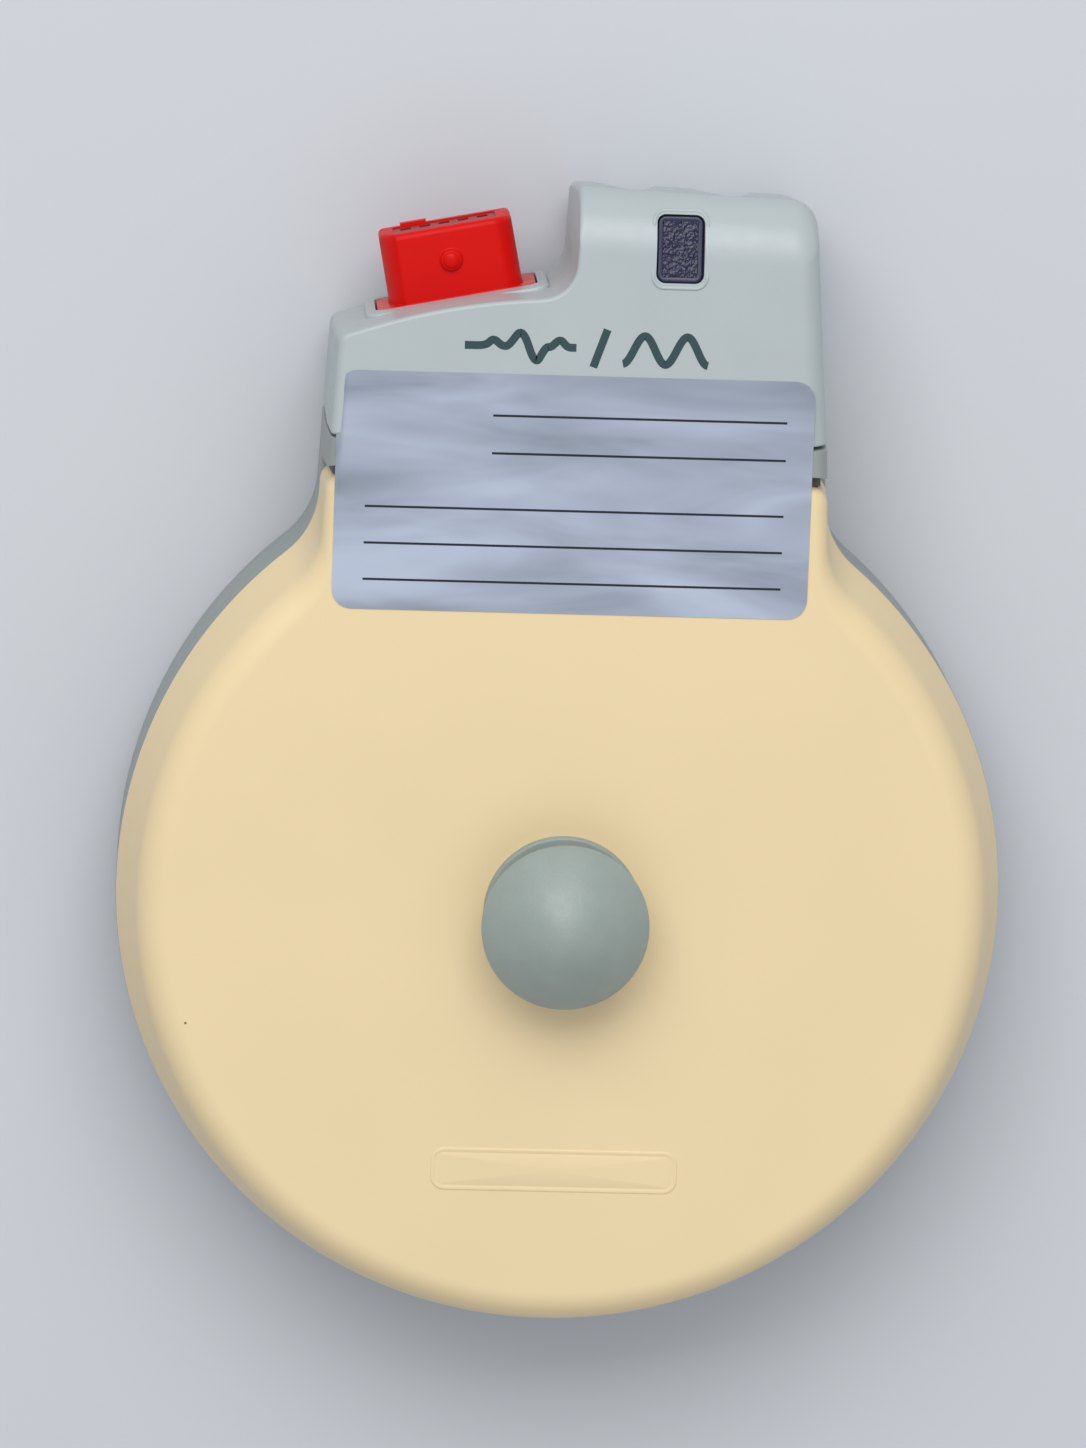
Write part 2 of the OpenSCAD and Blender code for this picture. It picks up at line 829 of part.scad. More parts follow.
// Screw with a cross recess, from the underside of its head to its tip
module case_screw(sink_z, head_h, tip_z) {
    difference() {
        union() {
            post(screw_head_r, sink_z, sink_z + head_h);
            post(case_screw_r, sink_z + head_h / 2, tip_z);
        }
        for (a = [0, 90])
            rotate(a) translate([-1.4, -0.3, sink_z - 0.1]) cube([2.8, 0.6, 0.6]);
    }
}

module cover_screws() {
    color(steel) cover_screw_places() case_screw(screw_sink, screw_head_h, parting_z + 3.5);
}

module head_screws() {
    color(steel) head_screw_places() case_screw(head_screw_sink, head_screw_head_h, lug_top - 0.4);
}

module thread_insert(z0, z1) {
    difference() {
        post(insert_r, z0, z1);
        post(case_screw_r + insert_clear, z0 - 1, z1 + 1);
    }
}

module thread_inserts() {
    color(gold) {
        cover_screw_places() thread_insert(parting_z, parting_z + insert_h);
        head_screw_places() thread_insert(lug_insert_z, lug_insert_z + lug_insert_h);
    }
}

label_w = 41.6;
label_h = 22.15;
label_x = -0.4;
label_y = 39.375;
label_t = 0.12;

module blank_label() {
    color([0.75, 0.78, 0.83])
        translate([label_x, label_y, face_z]) linear_extrude(label_t) pad(label_w, label_h, 1.8);
}

rear_shell();
front_cover();
head_cap();
neck_seal();
rim_seal();
belt_button();
button_collar();
button_screw();
button_washer();
button_o_ring();
socket_body();
socket_flange();
socket_gasket();
socket_insert();
socket_contacts();
socket_flex();
finder_lens();
light_guide();
finder_led();
led_board();
main_board();
board_screws();
radio_shield();
board_chips();
flex_header();
battery_cell();
battery_tray();
battery_clip();
antenna();
cover_screws();
head_screws();
thread_inserts();
blank_label();
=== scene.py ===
import json
import math

import bmesh
import bpy
from mathutils import Matrix, Vector, noise


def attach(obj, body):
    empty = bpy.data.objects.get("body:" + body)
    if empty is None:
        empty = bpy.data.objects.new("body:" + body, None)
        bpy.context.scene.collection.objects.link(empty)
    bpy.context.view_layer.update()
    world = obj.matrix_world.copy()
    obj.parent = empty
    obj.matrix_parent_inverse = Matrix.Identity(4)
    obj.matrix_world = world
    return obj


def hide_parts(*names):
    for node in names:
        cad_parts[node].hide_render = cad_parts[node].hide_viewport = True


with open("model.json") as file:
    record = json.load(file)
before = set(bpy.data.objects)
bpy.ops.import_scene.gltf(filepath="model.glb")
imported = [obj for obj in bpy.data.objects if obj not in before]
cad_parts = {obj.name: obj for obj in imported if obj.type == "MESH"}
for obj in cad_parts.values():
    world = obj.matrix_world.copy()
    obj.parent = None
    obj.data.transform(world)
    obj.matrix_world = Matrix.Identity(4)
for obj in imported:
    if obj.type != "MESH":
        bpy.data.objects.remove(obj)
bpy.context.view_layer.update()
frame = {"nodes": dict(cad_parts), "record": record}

MM = 0.001

# Driving sizes in millimetres, the same as in the frame
CASE_R = 41.5
PARTING_Z = 13.4
FACE_Z = 21.8
WALL = 2.0
BACK_ROUND = 4.0
ROOT_R = 8.0
NECK_HALF_W = 23.3
NECK_Y = 43.0
LOW_LEAN = 2.9
RIGHT_LEAN = 4.5
LEFT_LEAN = 3.2
HEAD_TOP = 67.1
TOP_SLOPE = 2.2
TOP_X = 10.75
COVER_TOP = 40.6
GROOVE_W = 1.0
BAND_TOP = 44.1
CAP_BOTTOM = 44.4
LIP = 0.12
ROOF_Z = FACE_Z - WALL
CASE_HUB = (0.0, 0.0)
HEAD_HUB = (5.0, 49.0)

# How far an added solid reaches into its neighbour, how far a cutter stands past what it cuts,
# and places well outside the case
OVERLAP = 0.5
CLEAR = 1
FAR = 60
FAR_Y = 90
HIGH_Z = 40

# Corners of the outlines: radius and steps
COVER_CORNER = (1.8, 10)
CASE_CORNER = (0.15, 4)
SEAM_CORNER = (0.25, 4)
TOWER_RIGHT = (3.0, 14)
TOWER_LEFT = (0.8, 8)
SADDLE_FOOT = (3.5, 14)
SADDLE_ARC = (60, 12)
SADDLE_END = (0.8, 8)
LEAST_R = 0.02

# Front profile of each edge: lean of the wall, then width and height of its rounding
DISC_FRONT = (17, 3.1, 3.1)
SIDE_FRONT = (3, 1.4, 1.6)
EDGE_FRONT = (0, 0.35, 0.35)
RIGHT_FRONT = (3, 2.1, 2.1)
TOP_FRONT = (4, 5.5, 5.5)
TOWER_FRONT = (2, 0.4, 0.4)
SADDLE_FRONT = (-1.5, 0.35, 0.35)
LEFT_FRONT = (3, 0.8, 0.8)
SEAM_FRONT = (0, 0.25, 0.25)
TOP_REAR_LEAN = 9
SADDLE_REAR_LEAN = 2


def srgb(r, g, b):
    """Linear colour from 8-bit display values."""
    def lin(v):
        v /= 255
        return v / 12.92 if v <= 0.04045 else ((v + 0.055) / 1.055) ** 2.4
    return (lin(r), lin(g), lin(b), 1.0)


CREAM = srgb(236, 213, 168)
HEAD_GREY = srgb(178, 186, 187)
# Painted shade: the shell's grey is the head's grey darkened by the shade its sides were seen in.
SHADED_SHELL_GREY = srgb(148, 155, 152)
BUTTON_GREY = srgb(150, 161, 156)
# Painted shade: this dark olive is the shade seen down in the neck groove, given to the seal that fills it.
GROOVE_SHADE_OLIVE = srgb(86, 84, 70)
RED = srgb(214, 10, 4)
FLANGE_RED = srgb(214, 40, 28)
INSERT_RED = srgb(150, 20, 14)
NAVY = srgb(18, 19, 58)
TEAL = srgb(38, 66, 70)
SILVER = srgb(168, 177, 194)
SPECK_BROWN = srgb(120, 100, 70)
INK = srgb(40, 42, 50)
FLOOR_GREY = srgb(204, 207, 212)


# Outlines

def through(angle, x, y):
    """Edge with a given outward normal angle that passes through a point."""
    a = math.radians(angle)
    return (a, x * math.cos(a) + y * math.sin(a))


# Edges of the plan: angle of the outward normal and distance from the origin
RIGHT_LOW = through(LOW_LEAN, NECK_HALF_W, NECK_Y)
RIGHT_HIGH = through(RIGHT_LEAN, NECK_HALF_W, NECK_Y)
TOP_EDGE = through(90 - TOP_SLOPE, TOP_X, HEAD_TOP)
TOWER_EDGE = through(177.5, -1.0, 61.5)
SADDLE_RIGHT = (math.radians(94.5), 57.35)
SADDLE_LEFT = (math.radians(108), 57.575)
LEFT_HIGH = through(180 - LEFT_LEAN, -NECK_HALF_W, NECK_Y)
LEFT_LOW = through(180 - LOW_LEAN, -NECK_HALF_W, NECK_Y)
COVER_EDGE = through(90, 0, COVER_TOP)
BAND_EDGE = through(90, 0, BAND_TOP)


def meet(a1, c1, a2, c2):
    """Crossing point of two edges."""
    det = math.sin(a2 - a1)
    return ((c1 * math.sin(a2) - c2 * math.sin(a1)) / det,
            (c2 * math.cos(a1) - c1 * math.cos(a2)) / det)


def bend(e1, e2, corner, d1, d2):
    """Rounded corner between two edges moved inwards by d1 and d2; corner = its radius and steps."""
    r, steps = corner
    side = -1 if e2[0] > e1[0] else 1
    rho = max(r + side * min(d1, d2), LEAST_R)
    qx, qy = meet(e1[0], e1[1] - d1 + side * rho, e2[0], e2[1] - d2 + side * rho)
    angles = [e1[0] + (e2[0] - e1[0]) * i / steps for i in range(steps + 1)]
    return [(qx - side * rho * math.cos(a), qy - side * rho * math.sin(a)) for a in angles]


def root(d_disc, d_side, steps=14):
    """Hollow on the right between the round case and the neck."""
    r = ROOT_R + min(d_disc, d_side)
    lean = math.radians(LOW_LEAN)
    u = RIGHT_LOW[1] - d_side + r
    v = math.sqrt((CASE_R - d_disc + r) ** 2 - u * u)
    cx = u * math.cos(lean) - v * math.sin(lean)
    cy = u * math.sin(lean) + v * math.cos(lean)
    a0 = math.atan2(cy, cx) + math.pi
    a1 = math.pi + lean
    angles = [a0 + (a1 - a0) * i / steps for i in range(steps + 1)]
    return [(cx + r * math.cos(a), cy + r * math.sin(a)) for a in angles]


def mirrored(points):
    """The same points left of the Y axis, in the order that keeps the outline's direction."""
    return [(-x, y) for x, y in reversed(points)]


def disc_arc(d, right, left, flank=24, half=132):
    """Round part of the outline between the two hollows: left flank, lower half, right flank."""
    start = math.atan2(left[-1][1], left[-1][0])
    stop = 2 * math.pi + math.atan2(right[0][1], right[0][0])
    angles = [start + (math.pi - start) * i / flank for i in range(1, flank + 1)]
    angles += [math.pi + math.pi * i / half for i in range(1, half + 1)]
    angles += [2 * math.pi + (stop - 2 * math.pi) * i / flank for i in range(1, flank)]
    return [((CASE_R - d) * math.cos(a), (CASE_R - d) * math.sin(a)) for a in angles]


def head_corners(d):
    """Outline of the head from its right side by way of the top and the saddle to its left side."""
    return (bend(RIGHT_HIGH, TOP_EDGE, TOWER_RIGHT, d[1], d[2])
            + bend(TOP_EDGE, TOWER_EDGE, TOWER_LEFT, d[2], d[3])
            + bend(TOWER_EDGE, SADDLE_RIGHT, SADDLE_FOOT, d[3], d[4])
            + bend(SADDLE_RIGHT, SADDLE_LEFT, SADDLE_ARC, d[4], d[4])
            + bend(SADDLE_LEFT, LEFT_HIGH, SADDLE_END, d[4], d[5]))


def necked_outline(d, upper, corner):
    """Round case and its neck up to an edge, with d = inset of disc, sides and upper edge."""
    right = root(d[0], d[1])
    left = mirrored(right)
    return (disc_arc(d[0], right, left) + right
            + bend(RIGHT_LOW, upper, corner, d[1], d[2])
            + bend(upper, LEFT_LOW, corner, d[2], d[1])
            + left)


def cover_outline(d):
    """Front cover, up to the groove."""
    return necked_outline(d, COVER_EDGE, COVER_CORNER)


def case_outline(d):
    """Back half of the case, up to the seam with the head."""
    return necked_outline(d, BAND_EDGE, CASE_CORNER)


def lower_edge(y):
    """Edge across the neck that faces down, as the first and as the last edge of an outline."""
    angle, distance = through(-90, 0, y)
    return (angle, distance), (angle + 2 * math.pi, distance)


def head_outline(d):
    """Head, with d = inset of seam, right side, top, tower, saddle and left side."""
    first, last = lower_edge(CAP_BOTTOM)
    return (bend(first, RIGHT_HIGH, SEAM_CORNER, d[0], d[1])
            + head_corners(d)
            + bend(LEFT_HIGH, last, SEAM_CORNER, d[5], d[0]))


def band_outline(d, low):
    """Strip across the neck from low up to the seam, with d = inset of its edges and of its ends."""
    first, last = lower_edge(low)
    return (bend(first, RIGHT_LOW, CASE_CORNER, d[0], d[1])
            + bend(RIGHT_LOW, BAND_EDGE, CASE_CORNER, d[1], d[0])
            + bend(BAND_EDGE, LEFT_LOW, CASE_CORNER, d[0], d[1])
            + bend(LEFT_LOW, last, CASE_CORNER, d[1], d[0]))


def pad_outline(w, h, r, steps=8):
    """Rounded rectangle about the origin."""
    out = []
    for k, (sx, sy) in enumerate([(1, 1), (-1, 1), (-1, -1), (1, -1)]):
        for i in range(steps + 1):
            a = math.pi / 2 * (k + i / steps)
            out.append((sx * (w / 2 - r) + r * math.cos(a), sy * (h / 2 - r) + r * math.sin(a)))
    return out


# Mesh building

def new_object(name, verts, faces):
    mesh = bpy.data.meshes.new(name)
    mesh.from_pydata([Vector(v) * MM for v in verts], [], faces)
    mesh.validate()
    obj = bpy.data.objects.new(name, mesh)
    bpy.context.scene.collection.objects.link(obj)
    return obj


def skin(rings, low_hub=None, high_hub=None, closed=False):
    """Vertices and faces of a surface through rings of equal length, with a fan at each hub."""
    n, m = len(rings[0]), len(rings)
    verts = [p for ring in rings for p in ring]
    faces = []
    for k in range(m if closed else m - 1):
        a, b = k * n, (k + 1) % m * n
        faces += [(a + i, a + (i + 1) % n, b + (i + 1) % n, b + i) for i in range(n)]
    if low_hub:
        verts.append(low_hub)
        faces += [(len(verts) - 1, (i + 1) % n, i) for i in range(n)]
    if high_hub:
        verts.append(high_hub)
        top = (m - 1) * n
        faces += [(len(verts) - 1, top + i, top + (i + 1) % n) for i in range(n)]
    return verts, faces


def lift(points, z):
    return [(x, y, z) for x, y in points]


def lathe(name, profile, steps=96):
    """Solid of revolution about Z from (radius, z) points; ends on the axis close it."""
    rings = [[(r * math.cos(2 * math.pi * i / steps), r * math.sin(2 * math.pi * i / steps), z)
              for i in range(steps)] for r, z in profile if r > 0]
    low = (0, 0, profile[0][1]) if profile[0][0] == 0 else None
    high = (0, 0, profile[-1][1]) if profile[-1][0] == 0 else None
    return new_object(name, *skin(rings, low, high, closed=low is None and high is None))


def outward(obj):
    """Face normals made consistent and turned outwards."""
    bm = bmesh.new()
    bm.from_mesh(obj.data)
    bmesh.ops.recalc_face_normals(bm, faces=bm.faces)
    bm.to_mesh(obj.data)
    bm.free()


def joined(objects, name):
    """One object from several, which are removed."""
    bm = bmesh.new()
    for o in objects:
        bm.from_mesh(o.data)
        bpy.data.objects.remove(o)
    mesh = bpy.data.meshes.new(name)
    bm.to_mesh(mesh)
    bm.free()
    obj = bpy.data.objects.new(name, mesh)
    bpy.context.scene.collection.objects.link(obj)
    return obj


def boolean(obj, tool, kind):
    """obj combined with tool, which is removed."""
    outward(obj)
    outward(tool)
    mod = obj.modifiers.new("cut", "BOOLEAN")
    mod.operation = kind
    mod.solver = "MANIFOLD"
    mod.object = tool
    bpy.context.view_layer.update()
    mesh = bpy.data.meshes.new_from_object(obj.evaluated_get(bpy.context.evaluated_depsgraph_get()))
    obj.modifiers.clear()
    obj.data = mesh
    bpy.data.objects.remove(tool)
    return obj


def smooth(obj, angle=32):
    """Smooth faces that break at edges sharper than angle."""
    mesh = obj.data
    limit = math.radians(angle)
    bm = bmesh.new()
    bm.from_mesh(mesh)
    for f in bm.faces:
        f.smooth = True
    for e in bm.edges:
        e.smooth = len(e.link_faces) == 2 and e.calc_face_angle(0) < limit
    bm.to_mesh(mesh)
    bm.free()
    mod = obj.modifiers.new("even_normals", "WEIGHTED_NORMAL")
    mod.mode = "FACE_AREA_WITH_ANGLE"
    mod.keep_sharp = True
    mod.weight = 80
    return obj


def rod(x, y, z0, z1, r, steps=40):
    """Plain upright cylinder for bosses and bores."""
    ring = [(x + r * math.cos(2 * math.pi * i / steps), y + r * math.sin(2 * math.pi * i / steps))
            for i in range(steps)]
    return new_object("rod", *skin([lift(ring, z0), lift(ring, z1)], (x, y, z0), (x, y, z1)))


def prism(outline, z0, z1):
    """Upright solid over an outline."""
    cx = sum(p[0] for p in outline) / len(outline)
    cy = sum(p[1] for p in outline) / len(outline)
    return new_object("prism", *skin([lift(outline, z0), lift(outline, z1)], (cx, cy, z0), (cx, cy, z1)))


def block(x0, x1, y0, y1, z0, z1):
    return prism([(x0, y0), (x1, y0), (x1, y1), (x0, y1)], z0, z1)


def place(obj, matrix):
    """The mesh moved by a matrix that is in millimetres."""
    scaled = matrix.copy()
    scaled.translation = matrix.translation * MM
    obj.data.transform(scaled)
    return obj


def ribbon(name, points, width, height, z_of):
    """Flat stroke along plan points, lying on the surface z_of(x, y)."""
    sink, least_cosine = 0.1, 0.55
    rings = []
    for i, (x, y) in enumerate(points):
        x0, y0 = points[max(i - 1, 0)]
        x1, y1 = points[min(i + 1, len(points) - 1)]
        t = Vector((x1 - x0, y1 - y0)).normalized()
        cut = 1.0
        if 0 < i < len(points) - 1:
            before = Vector((x - x0, y - y0)).normalized()
            cut = 1 / max(before.dot(t), least_cosine)
        nx, ny = -t.y * width / 2 * cut, t.x * width / 2 * cut
        left, right = (x + nx, y + ny), (x - nx, y - ny)
        rings.append([(*left, z_of(*left) - sink), (*left, z_of(*left) + height),
                      (*right, z_of(*right) + height), (*right, z_of(*right) - sink)])
    verts = [p for ring in rings for p in ring]
    faces = [(k * 4 + i, k * 4 + (i + 1) % 4, k * 4 + 4 + (i + 1) % 4, k * 4 + 4 + i)
             for k in range(len(rings) - 1) for i in range(4)]
    faces += [(3, 2, 1, 0), tuple(len(verts) - 4 + i for i in range(4))]
    obj = new_object(name, verts, faces)
    outward(obj)
    return obj


# Materials

def material(name, color, roughness, **sockets):
    mat = bpy.data.materials.new(name)
    mat.use_nodes = True
    bsdf = mat.node_tree.nodes["Principled BSDF"]
    bsdf.inputs["Base Color"].default_value = color
    bsdf.inputs["Roughness"].default_value = roughness
    for key, value in sockets.items():
        bsdf.inputs[key.replace("_", " ")].default_value = value
    return mat, mat.node_tree, bsdf


def link(tree, a, out, b, socket):
    tree.links.new(a.outputs[out], b.inputs[socket])


def coords(tree, scale=(1000, 1000, 1000)):
    """Object coordinates in millimetres."""
    where = tree.nodes.new("ShaderNodeTexCoord")
    mapping = tree.nodes.new("ShaderNodeMapping")
    mapping.inputs["Scale"].default_value = scale
    link(tree, where, "Object", mapping, "Vector")
    return mapping


def noise_node(tree, at, scale, detail=4, rough=0.5, distortion=0.0):
    node = tree.nodes.new("ShaderNodeTexNoise")
    node.inputs["Scale"].default_value = scale
    node.inputs["Detail"].default_value = detail
    node.inputs["Roughness"].default_value = rough
    node.inputs["Distortion"].default_value = distortion
    link(tree, at, "Vector", node, "Vector")
    return node


def spread(tree, source, low, high):
    """A noise value mapped to a range."""
    node = tree.nodes.new("ShaderNodeMapRange")
    node.inputs["From Min"].default_value = 0.3
    node.inputs["From Max"].default_value = 0.7
    node.inputs["To Min"].default_value = low
    node.inputs["To Max"].default_value = high
    link(tree, source, 0, node, "Value")
    return node


def tint(tree, bsdf, color, amount, factor):
    """Base colour that varies in brightness by amount as factor goes from 0 to 1."""
    mix = tree.nodes.new("ShaderNodeMix")
    mix.data_type = "RGBA"
    mix.inputs["A"].default_value = tuple(c * (1 - amount) for c in color[:3]) + (1,)
    mix.inputs["B"].default_value = tuple(min(c * (1 + amount), 1) for c in color[:3]) + (1,)
    link(tree, factor, 0, mix, "Factor")
    link(tree, mix, "Result", bsdf, "Base Color")
    return mix


def overlay(tree, bsdf, base, color, mask):
    """Another base colour laid over the first where the mask is 1."""
    mix = tree.nodes.new("ShaderNodeMix")
    mix.data_type = "RGBA"
    mix.inputs["B"].default_value = color
    tree.links.new(mask, mix.inputs["Factor"])
    link(tree, base, "Result", mix, "A")
    link(tree, mix, "Result", bsdf, "Base Color")


def maths(tree, operation, *values):
    """Output of a Math node whose inputs are other outputs or numbers."""
    node = tree.nodes.new("ShaderNodeMath")
    node.operation = operation
    for socket, value in zip(node.inputs, values):
        if isinstance(value, bpy.types.NodeSocket):
            tree.links.new(value, socket)
        else:
            socket.default_value = value
    return node.outputs[0]


def bump(tree, bsdf, heights, strength, distance):
    """Fine relief from a height node; distance is in millimetres."""
    node = tree.nodes.new("ShaderNodeBump")
    node.inputs["Strength"].default_value = strength
    node.inputs["Distance"].default_value = distance * MM
    link(tree, heights, 0, node, "Height")
    link(tree, node, "Normal", bsdf, "Normal")


def moulded(name, color, roughness, grain=2.2, depth=0.02, vary=0.02, **sockets):
    """Moulded plastic with a fine spark-eroded grain and faint mottling."""
    mat, tree, bsdf = material(name, color, roughness, **sockets)
    at = coords(tree)
    tint(tree, bsdf, color, vary, spread(tree, noise_node(tree, at, 0.12, 3), 0, 1))
    rough = spread(tree, noise_node(tree, at, 0.9, 3), roughness - 0.05, roughness + 0.05)
    link(tree, rough, 0, bsdf, "Roughness")
    bump(tree, bsdf, noise_node(tree, at, grain, 3, 0.6), 0.5, depth)
    return mat


def metal(name, color, roughness):
    """Metal whose roughness varies in soft patches."""
    mat, tree, bsdf = material(name, color, roughness, Metallic=1.0)
    at = coords(tree)
    rough = spread(tree, noise_node(tree, at, 1.5, 4), roughness - 0.08, roughness + 0.1)
    link(tree, rough, 0, bsdf, "Roughness")
    bump(tree, bsdf, noise_node(tree, at, 4, 2), 0.3, 0.01)
    return mat


def ruled_lines(tree, at, rows, width):
    """Mask of thin ruled lines; rows holds each line's height and its ends."""
    split = tree.nodes.new("ShaderNodeSeparateXYZ")
    link(tree, at, "Vector", split, "Vector")
    total = 0
    for y, x0, x1 in rows:
        across = maths(tree, "COMPARE", split.outputs["Y"], y, width / 2)
        along = maths(tree, "COMPARE", split.outputs["X"], (x0 + x1) / 2, (x1 - x0) / 2)
        total = maths(tree, "MAXIMUM", total, maths(tree, "MULTIPLY", across, along))
    return total


def cream_material():
    """Cream cover: satin, fine grain, a few tiny dark specks."""
    mat, tree, bsdf = material("cream_plastic", CREAM, 0.42)
    at = coords(tree)
    base = tint(tree, bsdf, CREAM, 0.015, spread(tree, noise_node(tree, at, 0.05, 2), 0, 1))
    cells = tree.nodes.new("ShaderNodeTexVoronoi")
    cells.inputs["Scale"].default_value = 0.09
    link(tree, at, "Vector", cells, "Vector")
    speck_r = 0.011
    overlay(tree, bsdf, base, SPECK_BROWN, maths(tree, "LESS_THAN", cells.outputs["Distance"], speck_r))
    link(tree, spread(tree, noise_node(tree, at, 0.6, 3), 0.36, 0.48), 0, bsdf, "Roughness")
    bump(tree, bsdf, noise_node(tree, at, 3.0, 3, 0.6), 0.35, 0.012)
    return mat


def label_material():
    """Blank silver sticker with a few ruled lines to write on, and diagonal streaks of painted sheen."""
    line_w, line_end, short_start, long_start = 0.22, 19.0, -8, -19.5
    rows = [(y, short_start, line_end) for y in (46.6, 43.1)]
    rows += [(y, long_start, line_end) for y in (37.9, 34.5, 31.1)]
    mat, tree, bsdf = material("silver_sticker", SILVER, 0.34, Metallic=0.5)
    at = coords(tree)
    streaks = coords(tree, (45, 190, 1000))
    streaks.inputs["Rotation"].default_value = (0, 0, math.radians(-24))
    # Painted sheen and shade: the silver is drawn up to 30 percent lighter or darker in diagonal streaks,
    # where its creases would catch or lose the light.
    painted_sheen = spread(tree, noise_node(tree, streaks, 1.0, 3, 0.45, 0.6), 0, 1)
    base = tint(tree, bsdf, SILVER, 0.3, painted_sheen)
    overlay(tree, bsdf, base, INK, ruled_lines(tree, at, rows, line_w))
    link(tree, spread(tree, noise_node(tree, streaks, 1.0, 3), 0.28, 0.42), 0, bsdf, "Roughness")
    bump(tree, bsdf, noise_node(tree, at, 6, 2), 0.3, 0.008)
    return mat


def lens_material():
    """Dark blue diffuser with a coarse sparkling texture."""
    mat, tree, bsdf = material("navy_lens", NAVY, 0.28)
    at = coords(tree)
    tint(tree, bsdf, NAVY, 0.35, spread(tree, noise_node(tree, at, 3.2, 2), 0, 1))
    return mat


def button_material():
    """Grey-green button with a leathery skin grain."""
    mat, tree, bsdf = material("button_plastic", BUTTON_GREY, 0.4)
    at = coords(tree)
    tint(tree, bsdf, BUTTON_GREY, 0.03, spread(tree, noise_node(tree, at, 0.5, 4), 0, 1))
    cells = tree.nodes.new("ShaderNodeTexVoronoi")
    cells.feature = "DISTANCE_TO_EDGE"
    cells.inputs["Scale"].default_value = 2.4
    link(tree, at, "Vector", cells, "Vector")
    crease = tree.nodes.new("ShaderNodeMapRange")
    crease.inputs["From Max"].default_value = 0.12
    link(tree, cells, "Distance", crease, "Value")
    bump(tree, bsdf, crease, 0.35, 0.02)
    link(tree, spread(tree, noise_node(tree, at, 1.2, 3), 0.34, 0.46), 0, bsdf, "Roughness")
    return mat


MATS = {
    # The shell's material carries painted shade: its grey is the head's grey darkened.
    "shell_grey": moulded("shell_plastic_painted_shade", SHADED_SHELL_GREY, 0.45),
    "cover_cream": cream_material(),
    "head_grey": moulded("head_plastic", HEAD_GREY, 0.38, grain=2.6, depth=0.015),
    # The seal's dark olive is painted shade of the groove it fills.
    "seal_olive": moulded("seal_painted_groove_shade", GROOVE_SHADE_OLIVE, 0.65, vary=0.06),
    "button_grey": button_material(),
    "steel": metal("screw_steel", srgb(190, 190, 194), 0.32),
    "rubber_black": moulded("black_rubber", srgb(30, 30, 30), 0.6, vary=0.1),
    "socket_red": moulded("socket_plastic", RED, 0.42, grain=1.6, depth=0.01, vary=0.03,
                          Specular_IOR_Level=0.15),
    "flange_red": moulded("flange_plastic", FLANGE_RED, 0.35, vary=0.03),
    "insert_red": moulded("insert_plastic", INSERT_RED, 0.4, vary=0.05),
    "contact_gold": metal("contact_gold", srgb(225, 185, 95), 0.25),
    "flex_amber": moulded("flex_film", srgb(200, 125, 45), 0.35, vary=0.05),
    "lens_navy": lens_material(),
    "guide_clear": moulded("guide_plastic", srgb(225, 230, 232), 0.15),
    "led_white": moulded("led_plastic", srgb(235, 235, 215), 0.3),
    "board_green": moulded("board_laminate", srgb(30, 105, 60), 0.4, vary=0.1),
    "shield_tin": metal("shield_tin", srgb(200, 200, 196), 0.38),
    "chip_black": moulded("chip_epoxy", srgb(35, 35, 38), 0.55, vary=0.1),
    "cell_blue": moulded("cell_sleeve", srgb(40, 75, 140), 0.35, vary=0.05),
    "tray_dark": moulded("tray_plastic", srgb(60, 60, 64), 0.5, vary=0.05),
    "aerial_copper": metal("aerial_copper", srgb(215, 150, 110), 0.3),
    "label_silver": label_material(),
    "mark_teal": moulded("teal_print", TEAL, 0.5, vary=0.05),
}


def dress(obj, slot, body="housing", *nodes):
    """Material, body, slot and replaced nodes of a finished piece."""
    obj.data.materials.clear()
    obj.data.materials.append(MATS[slot])
    for poly in obj.data.polygons:
        poly.material_index = 0
    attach(obj, body)
    if nodes:
        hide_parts(*nodes)


# Surfaces of the front

def inset(z, edge, off=0.0):
    """Inset of an edge at a height of the front half, for a surface that lies off inside the wall."""
    least = 0.3
    lean = math.tan(math.radians(edge[0]))
    r, h, top = max(edge[1] - off, least), max(edge[2] - off, least), FACE_Z - off
    a0 = math.atan(h * lean / r)
    z1 = top - h + h * math.sin(a0)
    if z <= z1:
        return off + lean * (z - PARTING_Z)
    a = math.asin(min((z - top + h) / h, 1))
    return off + lean * (z1 - PARTING_Z) + r * (math.cos(a0) - math.cos(a))


def drop(t, edge, halvings=30):
    """Height lost at a distance t inside an edge's outline."""
    low, high = PARTING_Z, FACE_Z
    if t >= inset(FACE_Z, edge):
        return 0.0
    for _ in range(halvings):
        mid = (low + high) / 2
        if inset(mid, edge) < t:
            low = mid
        else:
            high = mid
    return FACE_Z - low


def depth(edge, x, y):
    """Distance of a place in the plan from an edge, inwards."""
    return edge[1] - x * math.cos(edge[0]) - y * math.sin(edge[0])


def head_height(x, y):
    """Height of the head's front face at a place in the plan."""
    sides = ((TOP_EDGE, TOP_FRONT), (RIGHT_HIGH, RIGHT_FRONT), (LEFT_HIGH, LEFT_FRONT))
    return FACE_Z - max(drop(depth(edge, x, y), front) for edge, front in sides)


def front_heights(off=0.0, steps=14):
    """Heights of the rings, closer together towards the face."""
    top = FACE_Z - off
    h = TOP_FRONT[2] - off
    return [top - h * (1 - math.sin(math.pi / 2 * i / steps)) for i in range(steps + 1)]


